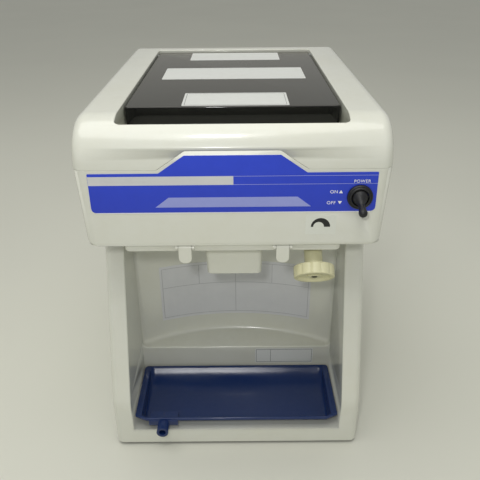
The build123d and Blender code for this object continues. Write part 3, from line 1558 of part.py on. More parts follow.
with BuildPart() as drip_tray:
    add(tray_outline(tray_z, tray_side_draft, tray_front_draft, tray_back_draft))
    add(tray_outline(tray_rim_z, tray_overhang, tray_overhang, tray_overhang))
    loft(ruled=True)
    add(tray_outline(tray_rim_z, 0, 0, 0))
    extrude(amount=tray_lip)
    with BuildSketch(Plane.XZ.offset(-behind(tray_front + tray_front_draft))):
        with Locations((spout_x, tray_rim_z + tray_overhang - spout_boss[2] / 2)):
            Rectangle(spout_boss[0], spout_boss[2])
        with Locations((spout_x, spout_z)):
            Circle(spout_neck)
    extrude(amount=tray_front_draft + spout_boss[1])
    with BuildSketch(Plane.XZ.offset(-behind(tray_front - spout_boss[1]))):
        with Locations((spout_x, spout_z)):
            Circle(spout_radius)
    extrude(amount=tray_front - spout_boss[1] + spout_reach)
    with BuildSketch(Plane.XY.offset(tray_top)):
        with Locations((0, tray_middle)):
            RectangleRounded(tray_width - 2 * tray_rim, tray_depth - 2 * tray_edge, tray_corner)
    with BuildSketch(Plane.XY.offset(tray_z + tray_floor)):
        with Locations((0, tray_middle + (tray_front_draft - tray_slope) / 2)):
            RectangleRounded(
                tray_width - 2 * tray_rim - 2 * tray_slope,
                tray_depth - 2 * tray_edge - tray_front_draft - tray_slope,
                tray_corner,
            )
    loft(mode=Mode.SUBTRACT)
    with BuildSketch(Plane.XZ.offset(spout_reach - front_y)):
        with Locations((spout_x, spout_z)):
            Circle(spout_bore)
    extrude(amount=-(spout_reach + tray_front + tray_edge + tray_front_draft), mode=Mode.SUBTRACT)
drip_tray.part.label = "drip_tray"
export_step(drip_tray.part, "parts/drip_tray.step")

# ---------------------------------------------------------------- electrical parts in the stand
inside_floor = stand_z + bottom_plate_thickness

with BuildPart() as run_capacitor:
    with BuildSketch(Plane.XY.offset(inside_floor)):
        with Locations((capacitor_x, behind(capacitor_depth))):
            Circle(capacitor_radius)
    extrude(amount=capacitor_height)
    fillet(run_capacitor.edges().group_by(Axis.Z)[-1], radius=capacitor_round)
    with BuildSketch(Plane.XY.offset(inside_floor + capacitor_height)):
        with Locations((capacitor_x, behind(capacitor_depth))):
            with GridLocations(capacitor_radius, 1, 2, 1):
                Rectangle(terminal_thickness, terminal_width)
    extrude(amount=terminal_length)
run_capacitor.part.label = "run_capacitor"
export_step(run_capacitor.part, "parts/run_capacitor.step")

with BuildPart() as terminal_block:
    with BuildSketch(Plane.XY.offset(inside_floor)):
        with Locations((-capacitor_x, behind(capacitor_depth))):
            Rectangle(block_size[0], block_size[1])
    extrude(amount=block_size[2])
    with BuildSketch(Plane.XY.offset(inside_floor + block_size[2])):
        with Locations((-capacitor_x, behind(capacitor_depth))):
            with GridLocations(block_size[0] / block_ways, block_size[1] / 2, block_ways, 2):
                Circle(block_screw_radius)
    extrude(amount=-block_size[2] / 2, mode=Mode.SUBTRACT)
terminal_block.part.label = "terminal_block"
export_step(terminal_block.part, "parts/terminal_block.step")


# ---------------------------------------------------------------- screws
def screw_group(places, seat_z, direction, radius, length, head, head_height):
    """Screws with round heads on a level seat, pointing up or down along direction."""
    with BuildPart() as group:
        with BuildSketch(Plane.XY.offset(seat_z)):
            with Locations(*places):
                Circle(head)
        extrude(amount=-direction * head_height)
        with BuildSketch(Plane.XY.offset(seat_z)):
            with Locations(*places):
                Circle(radius)
        extrude(amount=direction * length)
    return group.part


cover_screws = screw_group(
    cover_boss_places,
    seam_z - cover_screw_wall,
    1,
    cover_screw_radius,
    cover_screw_wall + cover_screw_bite,
    cover_screw_head,
    cover_screw_radius,
)
cover_screws.label = "cover_screws"
export_step(cover_screws, "parts/cover_screws.step")

plate_screws = screw_group(
    post_places,
    plate_top,
    -1,
    plate_screw_radius,
    plate_thickness + plate_screw_bite,
    2 * plate_screw_radius,
    plate_screw_radius,
)
plate_screws.label = "plate_screws"
export_step(plate_screws, "parts/plate_screws.step")

stand_screws = screw_group(
    stand_screw_places,
    casing_z + wall,
    -1,
    stand_screw_radius,
    2 * wall + stand_screw_spare,
    2 * stand_screw_radius,
    stand_screw_radius,
)
stand_screws.label = "stand_screws"
export_step(stand_screws, "parts/stand_screws.step")

with BuildPart() as stand_nuts:
    with BuildSketch(Plane.XY.offset(casing_z - wall)):
        with Locations(*stand_screw_places):
            RegularPolygon(2 * stand_screw_radius, 6)
            Circle(stand_screw_radius, mode=Mode.SUBTRACT)
    extrude(amount=-stand_nut_height)
stand_nuts.part.label = "stand_nuts"
export_step(stand_nuts.part, "parts/stand_nuts.step")

case_screws = screw_group(
    case_screw_places,
    gear_case_z,
    1,
    case_screw_radius,
    plate_z - gear_case_z + case_screw_bite,
    2 * case_screw_radius,
    case_screw_radius,
)
case_screws.label = "gear_case_screws"
export_step(case_screws, "parts/gear_case_screws.step")

motor_screws = screw_group(
    [(place.position.X, place.position.Y) for place in motor_screw_places],
    gear_case_z + gear_case_floor,
    -1,
    motor_screw_radius,
    gear_case_floor + motor_screw_bite,
    2 * motor_screw_radius,
    motor_screw_radius,
)
motor_screws.label = "motor_screws"
export_step(motor_screws, "parts/motor_screws.step")

with BuildPart() as bowl_screws:
    with BuildSketch(Plane.XY.offset(plate_top + bowl_wall)):
        with Locations((0, behind(bowl_axis))):
            with PolarLocations(bowl_screw_circle_radius, bowl_screw_count, start_angle=bowl_screw_start):
                Circle(2 * bowl_screw_radius)
    extrude(amount=bowl_screw_radius)
    with BuildSketch(Plane.XY.offset(plate_top + bowl_wall)):
        with Locations((0, behind(bowl_axis))):
            with PolarLocations(bowl_screw_circle_radius, bowl_screw_count, start_angle=bowl_screw_start):
                Circle(bowl_screw_radius)
    extrude(amount=-(bowl_wall + plate_thickness))
bowl_screws.part.label = "bowl_screws"
export_step(bowl_screws.part, "parts/bowl_screws.step")
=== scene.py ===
"""Electric ice slicer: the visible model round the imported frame, laid out as a Blender add-on."""
import json
import math

import bmesh
import bpy
from bpy.props import FloatProperty, FloatVectorProperty, IntProperty, PointerProperty
from bpy.types import Operator, Panel, PropertyGroup
from mathutils import Euler, Matrix, Quaternion, Vector
from mathutils.bvhtree import BVHTree

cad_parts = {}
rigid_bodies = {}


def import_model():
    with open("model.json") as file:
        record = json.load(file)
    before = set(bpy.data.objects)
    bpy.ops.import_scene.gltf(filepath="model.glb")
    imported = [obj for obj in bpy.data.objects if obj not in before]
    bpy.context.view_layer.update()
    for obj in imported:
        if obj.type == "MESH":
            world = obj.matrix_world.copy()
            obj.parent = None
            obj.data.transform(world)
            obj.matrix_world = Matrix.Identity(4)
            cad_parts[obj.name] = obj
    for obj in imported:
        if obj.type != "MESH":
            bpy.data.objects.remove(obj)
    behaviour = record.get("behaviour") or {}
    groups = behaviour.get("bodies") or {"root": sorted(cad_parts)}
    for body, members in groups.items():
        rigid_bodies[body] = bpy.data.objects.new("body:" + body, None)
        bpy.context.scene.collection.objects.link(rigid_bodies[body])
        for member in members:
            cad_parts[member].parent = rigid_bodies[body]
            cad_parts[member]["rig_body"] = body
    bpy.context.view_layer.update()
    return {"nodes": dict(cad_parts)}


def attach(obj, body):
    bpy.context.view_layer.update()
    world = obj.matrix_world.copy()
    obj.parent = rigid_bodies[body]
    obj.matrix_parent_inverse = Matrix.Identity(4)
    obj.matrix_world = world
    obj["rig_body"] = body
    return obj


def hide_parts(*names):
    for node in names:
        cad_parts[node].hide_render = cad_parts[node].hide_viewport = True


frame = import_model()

bl_info = {
    "name": "Ice Slicer Dressing",
    "version": (1, 0, 0),
    "blender": (4, 5, 0),
    "location": "3D View > Sidebar > Ice Slicer",
    "description": "Builds the finishes, trim, labels and stage of an electric ice slicer round its frame",
    "category": "Object",
}

NODES = frame["nodes"]
MM = 0.001

# Planes that flat pieces are drawn on: local X across, local Y up the piece, local Z out of it
FRONT = Matrix(((1, 0, 0, 0), (0, 0, -1, 0), (0, 1, 0, 0), (0, 0, 0, 1)))
BACK = Matrix(((-1, 0, 0, 0), (0, 0, 1, 0), (0, 1, 0, 0), (0, 0, 0, 1)))
LEVEL = Matrix.Identity(4)


def linear(code):
    """The linear colour of a paint code such as #dcdccc."""
    parts = [int(code[i:i + 2], 16) / 255 for i in (1, 3, 5)]
    return tuple(p / 12.92 if p <= 0.04045 else ((p + 0.055) / 1.055) ** 2.4 for p in parts)


def color_property(name, description, code):
    return FloatVectorProperty(
        name=name, description=description, default=linear(code), size=3, min=0, max=1, subtype="COLOR"
    )


def length_property(name, description, default, low=0.0, high=1.0):
    return FloatProperty(
        name=name, description=description, default=default, min=low, max=high,
        unit="LENGTH", subtype="DISTANCE", precision=5,
    )


class SlicerFinishSettings(PropertyGroup):
    """Colours of the mouldings, metals and prints."""

    shell: color_property("Shell", "Colour of the ivory casing and stand", "#dcddd3")
    shell_aged: color_property("Shell aged", "Colour that the shell yellows towards", "#d0ceba")
    knob: color_property("Knob", "Colour of the adjusting knob", "#d9d6b2")
    knob_aged: color_property("Knob aged", "Colour in the knob's worn patches", "#c9c394")
    lid: color_property("Lid", "Colour of the smoked lid's sides", "#0c0c0e")
    # Painted reflection: the lid's top colour holds the ceiling's reflection, so it is lighter than the dark sides
    lid_top_sheen: color_property("Lid top", "Colour of the lid's satin top", "#45433c")
    panel: color_property("Panel", "Blue of the control panel's film", "#273fc2")
    panel_top: color_property("Panel top", "Brighter blue near the panel's top", "#2f4ad6")
    tray: color_property("Tray", "Colour of the drip tray", "#142a5a")
    hopper: color_property("Hopper", "Colour of the ice hopper", "#c9cbbd")
    rubber: color_property("Rubber", "Colour of boot and feet", "#101012")
    print_light: color_property("Light print", "Colour of the panel's pale stripe", "#d2d3d4")
    print_white: color_property("White print", "Colour of the lettering", "#f0f0f2")
    print_soft: color_property("Soft print", "Colour of the panel's pale blue bar", "#98a0dc")
    label: color_property("Label", "Colour of the blank stickers", "#dcdedb")
    sheet: color_property("Sheet", "Colour of the blank sheet on the rear wall", "#dcdddf")


class SlicerDetailSettings(PropertyGroup):
    """Sizes of edges, prints, stickers and screws."""

    edge: length_property("Edge", "Radius of the shell's outer edges", 1.2 * MM)
    head_edge: length_property("Head's edge", "Radius under the head's sides", 8.0 * MM)
    head_front_edge: length_property("Head's front edge", "Radius under the head's front and back", 4.0 * MM)
    fine_edge: length_property("Fine edge", "Radius of small mouldings' edges", 0.6 * MM)
    edge_steps: IntProperty(name="Edge steps", description="Faces round an edge", default=3, min=1, max=6)
    ink: length_property("Ink", "Thickness of printed marks", 0.08 * MM)
    sticker: length_property("Sticker", "Thickness of a sticker", 0.15 * MM)
    recess_width: length_property("Recess width", "Width of a screw's cross recess", 0.9 * MM)
    recess_depth: length_property("Recess depth", "Depth of a screw's cross recess", 1.2 * MM)
    lobes: IntProperty(name="Lobes", description="Lobes round the adjusting knob", default=12, min=3, max=36)
    lobe_depth: length_property("Lobe depth", "Depth of the knob's flutes", 1.1 * MM)
    turn_steps: IntProperty(name="Turn steps", description="Faces round a turned piece", default=96, min=12)
    hood_reach: length_property("Hood reach", "How far a louvre's lip stands out", 2.2 * MM)


class SlicerStageSettings(PropertyGroup):
    """Camera, lamps and floor."""

    focal: FloatProperty(name="Focal length", description="Camera lens", default=43.125, unit="CAMERA")
    place: FloatVectorProperty(
        name="Camera place", description="Where the camera stands", default=(0.0066, -0.738, 0.5795),
        subtype="TRANSLATION", unit="LENGTH",
    )
    tip: FloatProperty(
        name="Tip", description="Camera's angle below the horizon", default=math.radians(27.8), subtype="ANGLE"
    )
    roll: FloatProperty(
        name="Roll", description="Camera's turn about its own line", default=math.radians(0.5), subtype="ANGLE"
    )
    sky: FloatProperty(name="Sky", description="Strength of the room's light", default=0.45, min=0)
    ceiling: FloatProperty(name="Ceiling", description="Power of the wide lamp overhead", default=18, unit="POWER")
    strip: FloatProperty(name="Strip", description="Power of the narrow lamp overhead", default=3.0, unit="POWER")
    flash: FloatProperty(name="Flash", description="Power of the lamp by the camera", default=1.1, unit="POWER")
    floor: color_property("Floor", "Colour of the floor", "#d8d8cd")


class Wires:
    """Adds nodes to one tree. An input given as a socket is linked, and any other is set."""

    def __init__(self, tree):
        self.tree = tree

    def node(self, kind, inputs=None, **settings):
        node = self.tree.nodes.new(kind)
        for key, value in settings.items():
            setattr(node, key, value)
        for key, value in (inputs or {}).items():
            self.join(value, node.inputs[key])
        return node

    def join(self, value, socket):
        if isinstance(value, bpy.types.NodeSocket):
            self.tree.links.new(value, socket)
        else:
            socket.default_value = value

    def math(self, operation, *values, clamp=False):
        return self.node("ShaderNodeMath", dict(enumerate(values)), operation=operation, use_clamp=clamp).outputs[0]

    def mix(self, factor, first, second):
        return self.node("ShaderNodeMix", {0: factor, 6: first, 7: second}, data_type="RGBA").outputs[2]

    def noise(self, vector, scale, detail=3.0, roughness=0.55):
        inputs = {"Vector": vector, "Scale": scale, "Detail": detail, "Roughness": roughness}
        return self.node("ShaderNodeTexNoise", inputs).outputs[0]

    def ramp(self, value, low, high, start=0.0, end=1.0):
        return self.node("ShaderNodeMapRange", {0: value, 1: low, 2: high, 3: start, 4: end}).outputs[0]

    def group(self, tree, **inputs):
        node = self.node("ShaderNodeGroup", node_tree=tree)
        for key, value in inputs.items():
            self.join(value, node.inputs[key.replace("_", " ")])
        return node


# ---------------------------------------------------------------- shared shader effects
SOCKETS = {"v": "NodeSocketVector", "c": "NodeSocketColor", "f": "NodeSocketFloat"}


def effect(name, inputs, outputs):
    """An empty shader group with its sockets: its wires, its inputs by name and its output node."""
    tree = bpy.data.node_groups.new(name, "ShaderNodeTree")
    for label, kind in inputs.items():
        tree.interface.new_socket(label, in_out="INPUT", socket_type=SOCKETS[kind])
    for label, kind in outputs.items():
        tree.interface.new_socket(label, in_out="OUTPUT", socket_type=SOCKETS[kind])
    wires = Wires(tree)
    given = wires.node("NodeGroupInput").outputs
    result = wires.node("NodeGroupOutput").inputs
    return wires, {label: given[label] for label in inputs}, result


def patina_effect():
    """Blotches of an aged colour, large ones with a finer mottle in them."""
    inputs = {"Vector": "v", "Color": "c", "Aged Color": "c", "Patch Scale": "f", "Amount": "f"}
    wires, given, result = effect("Patina", inputs, {"Color": "c"})
    broad = wires.ramp(wires.noise(given["Vector"], given["Patch Scale"], 4.0), 0.4, 0.7)
    fine_scale = wires.math("MULTIPLY", given["Patch Scale"], 11.0)
    fine = wires.ramp(wires.noise(given["Vector"], fine_scale, 3.0), 0.35, 0.7)
    blend = wires.math("ADD", wires.math("MULTIPLY", broad, 0.7), wires.math("MULTIPLY", fine, 0.3))
    factor = wires.math("MULTIPLY", blend, given["Amount"], clamp=True)
    wires.join(wires.mix(factor, given["Color"], given["Aged Color"]), result["Color"])
    return wires.tree


def skin_effect():
    """The height of a moulded skin: a fine grain on slow waves."""
    inputs = {"Vector": "v", "Grain Scale": "f", "Grain Height": "f", "Wave Scale": "f", "Wave Height": "f"}
    wires, given, result = effect("Moulded skin", inputs, {"Height": "f"})
    grain = wires.math("MULTIPLY", wires.noise(given["Vector"], given["Grain Scale"], 2.0), given["Grain Height"])
    wave = wires.math("MULTIPLY", wires.noise(given["Vector"], given["Wave Scale"], 1.0), given["Wave Height"])
    wires.join(wires.math("ADD", grain, wave), result["Height"])
    return wires.tree


def handling_effect():
    """Uneven gloss from handling, and dust that settles on level faces."""
    inputs = {
        "Vector": "v", "Color": "c", "Dust Color": "c", "Dust": "f", "Roughness": "f", "Spread": "f",
    }
    wires, given, result = effect("Handling", inputs, {"Color": "c", "Roughness": "f"})
    smear = wires.math("SUBTRACT", wires.noise(given["Vector"], 24.0, 6.0, 0.65), 0.5)
    change = wires.math("MULTIPLY", smear, given["Spread"])
    wires.join(wires.math("ADD", given["Roughness"], change, clamp=True), result["Roughness"])
    normal = wires.node("ShaderNodeNewGeometry").outputs["Normal"]
    upward = wires.node("ShaderNodeSeparateXYZ", {0: normal}).outputs["Z"]
    level = wires.ramp(upward, 0.6, 1.0)
    specks = wires.ramp(wires.noise(given["Vector"], 160.0, 5.0, 0.7), 0.45, 0.75)
    factor = wires.math("MULTIPLY", wires.math("MULTIPLY", level, specks), given["Dust"], clamp=True)
    wires.join(wires.mix(factor, given["Color"], given["Dust Color"]), result["Color"])
    return wires.tree


def edge_wear_effect():
    """A mask and colour for worn edges, from how far the surface turns within a short reach."""
    inputs = {"Vector": "v", "Color": "c", "Worn Color": "c", "Reach": "f", "Amount": "f"}
    wires, given, result = effect("Edge wear", inputs, {"Color": "c", "Mask": "f"})
    rounded = wires.node("ShaderNodeBevel", {"Radius": given["Reach"]}, samples=4).outputs[0]
    plain = wires.node("ShaderNodeNewGeometry").outputs["True Normal"]
    along = wires.node("ShaderNodeVectorMath", {0: rounded, 1: plain}, operation="DOT_PRODUCT").outputs["Value"]
    turn = wires.ramp(wires.math("SUBTRACT", 1.0, along), 0.01, 0.12)
    rubbed = wires.ramp(wires.noise(given["Vector"], 90.0, 4.0), 0.35, 0.65)
    mask = wires.math("MULTIPLY", wires.math("MULTIPLY", turn, rubbed), given["Amount"], clamp=True)
    wires.join(mask, result["Mask"])
    wires.join(wires.mix(mask, given["Color"], given["Worn Color"]), result["Color"])
    return wires.tree


def brushed_effect():
    """Height and roughness of drawn lines that run across the stretch."""
    inputs = {"Vector": "v", "Stretch": "v", "Height": "f", "Roughness": "f", "Spread": "f"}
    wires, given, result = effect("Brushed metal", inputs, {"Height": "f", "Roughness": "f"})
    drawn = wires.node("ShaderNodeVectorMath", {0: given["Vector"], 1: given["Stretch"]}, operation="MULTIPLY")
    lines = wires.noise(drawn.outputs[0], 1.0, 3.0, 0.6)
    wires.join(wires.math("MULTIPLY", lines, given["Height"]), result["Height"])
    change = wires.math("MULTIPLY", wires.math("SUBTRACT", lines, 0.5), given["Spread"])
    wires.join(wires.math("ADD", given["Roughness"], change, clamp=True), result["Roughness"])
    return wires.tree


def band_effect():
    """One inside a band of values, nought outside, with soft sides."""
    inputs = {"Value": "f", "Low": "f", "High": "f", "Soft": "f"}
    wires, given, result = effect("Band", inputs, {"Mask": "f"})
    start = wires.math("SUBTRACT", given["Low"], given["Soft"])
    end = wires.math("ADD", given["High"], given["Soft"])
    rise = wires.ramp(given["Value"], start, given["Low"])
    fall = wires.ramp(given["Value"], given["High"], end, 1.0, 0.0)
    wires.join(wires.math("MULTIPLY", rise, fall), result["Mask"])
    return wires.tree


# ---------------------------------------------------------------- finishes
class Finish:
    """One material with its Principled surface, and the object's own coordinates."""

    def __init__(self, name, effects, **constants):
        self.material = bpy.data.materials.new(name)
        self.material.use_nodes = True
        self.wires = Wires(self.material.node_tree)
        self.effects = effects
        self.surface = self.material.node_tree.nodes["Principled BSDF"]
        for label, value in constants.items():
            self.surface.inputs[label.replace("_", " ")].default_value = value
        self.place = self.wires.node("ShaderNodeTexCoord").outputs["Object"]

    def feed(self, label, socket):
        self.wires.join(socket, self.surface.inputs[label])

    def along(self, axis):
        return self.wires.node("ShaderNodeSeparateXYZ", {0: self.place}).outputs[axis]

    def use(self, name, **inputs):
        return self.wires.group(self.effects[name], **inputs)

    def bump(self, height, strength=1.0):
        inputs = {"Height": height, "Distance": 1.0, "Strength": strength}
        self.feed("Normal", self.wires.node("ShaderNodeBump", inputs).outputs[0])


def rgba(color):
    return (*color, 1.0)


def moulding(name, effects, color, aged, roughness, spread, grain, waves, patches=7.0, amount=0.5, dust=0.15,
             dust_color="#8d8a7c", **constants):
    """Moulded plastic or rubber. grain and waves are each a scale per metre and a height in metres."""
    finish = Finish(name, effects, **constants)
    base = finish.use(
        "patina", Vector=finish.place, Color=color if isinstance(color, bpy.types.NodeSocket) else rgba(color),
        Aged_Color=rgba(aged), Patch_Scale=patches, Amount=amount,
    ).outputs["Color"]
    handled = finish.use(
        "handling", Vector=finish.place, Color=base, Dust_Color=rgba(linear(dust_color)), Dust=dust,
        Roughness=roughness, Spread=spread,
    )
    finish.feed("Base Color", handled.outputs["Color"])
    finish.feed("Roughness", handled.outputs["Roughness"])
    skin = finish.use(
        "skin", Vector=finish.place, Grain_Scale=grain[0], Grain_Height=grain[1],
        Wave_Scale=waves[0], Wave_Height=waves[1],
    )
    finish.bump(skin.outputs["Height"])
    return finish


def metal(name, effects, color, aged, roughness, spread, stretch, height, wear=0.0, worn="#d8d8d8", metallic=1.0):
    """Drawn, cast or plated metal, with stretch the lines per metre along each axis."""
    finish = Finish(name, effects, Metallic=metallic)
    base = finish.use(
        "patina", Vector=finish.place, Color=rgba(linear(color)), Aged_Color=rgba(linear(aged)),
        Patch_Scale=18.0, Amount=0.7,
    ).outputs["Color"]
    if wear:
        base = finish.use(
            "edge_wear", Vector=finish.place, Color=base, Worn_Color=rgba(linear(worn)), Reach=0.8 * MM, Amount=wear
        ).outputs["Color"]
    lines = finish.use(
        "brushed", Vector=finish.place, Stretch=stretch, Height=height, Roughness=roughness, Spread=spread
    )
    finish.feed("Base Color", base)
    finish.feed("Roughness", lines.outputs["Roughness"])
    finish.bump(lines.outputs["Height"])
    return finish


def lid_finish(effects, colors):
    """Smoked acrylic: polished dark sides, and a rougher top with fine scratches whose lighter colour is a painted
    reflection of the ceiling, brighter towards the rear.
    """
    finish = Finish("smoked_lid", effects)
    height = finish.along("Z")
    # The top face takes the top colour, a painted reflection of the ceiling, lighter than the sides
    top = finish.wires.ramp(height, 419.0 * MM, 419.8 * MM)
    # Painted reflection: the top darkens towards the front and brightens towards the rear
    reflection_ramp = finish.wires.ramp(finish.along("Y"), -140.0 * MM, 190.0 * MM)
    painted_reflection = finish.wires.mix(
        reflection_ramp, rgba([c * 0.55 for c in colors.lid_top_sheen]), rgba([c * 1.3 for c in colors.lid_top_sheen])
    )
    color = finish.wires.mix(top, rgba(colors.lid), painted_reflection)
    handled = finish.use(
        "handling", Vector=finish.place, Color=color, Dust_Color=rgba(linear("#77756c")), Dust=0.05,
        Roughness=finish.wires.ramp(top, 0.0, 1.0, 0.05, 0.26), Spread=0.05,
    )
    finish.feed("Base Color", handled.outputs["Color"])
    finish.feed("Roughness", handled.outputs["Roughness"])
    scratches = finish.use(
        "brushed", Vector=finish.place, Stretch=(900.0, 40.0, 900.0), Height=0.004 * MM, Roughness=0.0, Spread=0.0
    )
    finish.bump(scratches.outputs["Height"])
    return finish


def panel_finish(effects, colors):
    """Printed film, a little brighter towards its top."""
    finish = moulding(
        "panel_blue", effects, colors.panel, linear("#233ab4"), 0.22, 0.08, (900.0, 0.004 * MM),
        (14.0, 0.05 * MM), amount=0.5, dust=0.0,
    )
    patina = next(n for n in finish.wires.tree.nodes if n.type == "GROUP" and n.node_tree == effects["patina"])
    lift = finish.wires.ramp(finish.along("Z"), 331.0 * MM, 392.0 * MM)
    finish.wires.join(finish.wires.mix(lift, rgba(colors.panel), rgba(colors.panel_top)), patina.inputs["Color"])
    return finish


def sheet_finish(effects, colors):
    """Laminated paper, with a thin printed frame and empty boxes."""
    finish = Finish("sheet_print", effects, Coat_Weight=0.2)
    across = finish.along("X")
    up = finish.along("Z")
    ink = None

    def rule(value, at, low, high, other):
        stripe = finish.use("band", Value=value, Low=at - 0.25 * MM, High=at + 0.25 * MM, Soft=0.15 * MM)
        run = finish.use("band", Value=other, Low=low, High=high, Soft=0.15 * MM)
        return finish.wires.math("MULTIPLY", stripe.outputs[0], run.outputs[0])

    lines = [(across, x, 108 * MM, 186 * MM, up) for x in (-99 * MM, 99 * MM)]
    lines += [(up, z, -99 * MM, 99 * MM, across) for z in (108 * MM, 156 * MM, 186 * MM)]
    lines += [(across, x, 156 * MM, 186 * MM, up) for x in (-50 * MM, 0.0, 50 * MM)]
    lines += [(across, 0.0, 108 * MM, 156 * MM, up)]
    for value, at, low, high, other in lines:
        mark = rule(value, at, low, high, other)
        ink = mark if ink is None else finish.wires.math("MAXIMUM", ink, mark)
    paper = finish.use(
        "patina", Vector=finish.place, Color=rgba(colors.sheet), Aged_Color=rgba(linear("#cfd0d2")),
        Patch_Scale=12.0, Amount=0.5,
    ).outputs["Color"]
    printed = finish.wires.mix(finish.wires.math("MULTIPLY", ink, 0.5), paper, rgba(linear("#75767a")))
    handled = finish.use(
        "handling", Vector=finish.place, Color=printed, Dust_Color=rgba(linear("#8d8a7c")), Dust=0.0,
        Roughness=0.35, Spread=0.15,
    )
    finish.feed("Base Color", handled.outputs["Color"])
    finish.feed("Roughness", handled.outputs["Roughness"])
    skin = finish.use(
        "skin", Vector=finish.place, Grain_Scale=600.0, Grain_Height=0.004 * MM, Wave_Scale=30.0,
        Wave_Height=0.06 * MM,
    )
    finish.bump(skin.outputs["Height"])
    return finish


def cast_finish(name, effects, color, aged):
    """Sand-cast alloy or thick paint: pebbled, with rubbed edges."""
    finish = metal(name, effects, color, aged, 0.5, 0.2, (420.0, 420.0, 420.0), 0.06 * MM, 0.8, "#dadad6")
    return finish


def make_finishes():
    """Builds every group and material once, by slot."""
    colors = bpy.context.scene.slicer_finish
    effects = {
        "patina": patina_effect(), "skin": skin_effect(), "handling": handling_effect(),
        "edge_wear": edge_wear_effect(), "brushed": brushed_effect(), "band": band_effect(),
    }
    fine = (1500.0, 0.008 * MM)
    slow = (22.0, 0.12 * MM)
    made = [
        moulding("ivory_shell", effects, colors.shell, colors.shell_aged, 0.24, 0.1, fine, slow, amount=0.35,
                 dust=0.05, Coat_Weight=0.5, Coat_Roughness=0.08),
        moulding("knob_ivory", effects, colors.knob, colors.knob_aged, 0.36, 0.15, fine, slow, 40.0, 0.4, 0.05),
        lid_finish(effects, colors),
        panel_finish(effects, colors),
        moulding("tray_blue", effects, colors.tray, linear("#1a3162"), 0.16, 0.06, (1200.0, 0.006 * MM), slow,
                 16.0, 0.5, 0.04, "#5a6478"),
        moulding("grey_hopper", effects, colors.hopper, linear("#b6b8a6"), 0.42, 0.15, fine, slow),
        moulding("black_rubber", effects, colors.rubber, linear("#26262a"), 0.5, 0.2, (1400.0, 0.02 * MM), slow,
                 40.0, 0.6, 0.3, "#5c5a55"),
        moulding("black_plastic", effects, linear("#1c1c1e"), linear("#2a2a2c"), 0.4, 0.2, (1300.0, 0.015 * MM),
                 slow, 30.0, 0.6, 0.2, "#5c5a55"),
        cast_finish("cast_alloy", effects, "#b4b6b6", "#94979a"),
        metal("stainless", effects, "#c9cacb", "#b2b4b6", 0.3, 0.25, (30.0, 30.0, 2200.0), 0.006 * MM),
        metal("steel", effects, "#a9abad", "#8c8e90", 0.34, 0.2, (500.0, 500.0, 60.0), 0.008 * MM, 0.4),
        metal("zinc_screw", effects, "#c4c5c0", "#a8a79c", 0.34, 0.25, (900.0, 900.0, 200.0), 0.01 * MM, 0.5),
        metal("copper", effects, "#b8683e", "#8c4a2c", 0.3, 0.2, (400.0, 400.0, 3000.0), 0.03 * MM),
        metal("green_paint", effects, "#3f6a52", "#33573f", 0.4, 0.15, (300.0, 300.0, 300.0), 0.03 * MM, 0.6,
              "#9aa09c", 0.0),
        metal("bronze", effects, "#a98446", "#8a6a36", 0.36, 0.2, (800.0, 800.0, 60.0), 0.01 * MM, 0.5, "#dab878"),
        moulding("print_light", effects, colors.print_light, linear("#bfc0c2"), 0.35, 0.1, fine, slow, 20.0, 0.4, 0.0),
        moulding("print_white", effects, colors.print_white, linear("#dcdce0"), 0.35, 0.1, fine, slow, 20.0, 0.4, 0.0),
        moulding("print_soft", effects, colors.print_soft, linear("#868ed0"), 0.3, 0.1, fine, slow, 20.0, 0.4, 0.0),
        moulding("print_dark", effects, linear("#1a1a1a"), linear("#2c2c2c"), 0.4, 0.1, fine, slow, 20.0, 0.4, 0.0),
        moulding("label_blank", effects, colors.label, linear("#d8dad6"), 0.32, 0.15, (700.0, 0.004 * MM),
                 (30.0, 0.05 * MM), 20.0, 0.6, 0.1),
        moulding("label_clear", effects, linear("#dddfd6"), linear("#d6d8ce"), 0.2, 0.1, fine, slow, 20.0, 0.5, 0.0),
        sheet_finish(effects, colors),
    ]
    return {finish.material.name: finish.material for finish in made}


# ---------------------------------------------------------------- mesh helpers
def put(name, mesh):
    """A new object at the origin with this mesh."""
    piece = bpy.data.objects.new(name, mesh)
    bpy.context.scene.collection.objects.link(piece)
    return piece


def from_form(name, form):
    """A new object from a bmesh, with its doubles merged."""
    bmesh.ops.remove_doubles(form, verts=form.verts, dist=0.002 * MM)
    mesh = bpy.data.meshes.new(name)
    form.to_mesh(mesh)
    form.free()
    return put(name, mesh)


def plain(piece):
    """Turns a piece and its modifiers into one plain mesh at the origin."""
    graph = bpy.context.evaluated_depsgraph_get()
    mesh = bpy.data.meshes.new_from_object(piece.evaluated_get(graph))
    piece.modifiers.clear()
    piece.data = mesh
    return piece


def smooth(piece, angle=35.0):
    """Smooth shading, kept crisp where faces meet at more than this angle."""
    piece.data.shade_smooth()
    piece.data.set_sharp_from_angle(angle=math.radians(angle))
    return piece


def outward(piece):
    """Merges doubles and turns a closed mesh's faces outwards."""
    form = bmesh.new()
    form.from_mesh(piece.data)
    bmesh.ops.remove_doubles(form, verts=form.verts, dist=0.002 * MM)
    bmesh.ops.recalc_face_normals(form, faces=form.faces)
    form.to_mesh(piece.data)
    form.free()
    return piece


def coat(piece, material, body, slot, *replaced):
    """Gives a finished piece its material and body, and hides what it stands for. Its slot argument is not used."""
    piece.data.materials.clear()
    piece.data.materials.append(bpy.data.materials[material])
    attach(piece, body)
    if replaced:
        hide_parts(*replaced)
    return piece


def merged_copy(node):
    """A merged bmesh of a CAD node, with its flat faces whole."""
    mesh = NODES[node].data.copy()
    if "custom_normal" in mesh.attributes:
        mesh.attributes.remove(mesh.attributes["custom_normal"])
    form = bmesh.new()
    form.from_mesh(mesh)
    bmesh.ops.remove_doubles(form, verts=form.verts, dist=0.002 * MM)
    bmesh.ops.dissolve_limit(form, angle_limit=math.radians(0.3), verts=form.verts, edges=form.edges)
    bpy.data.meshes.remove(mesh)
    return form


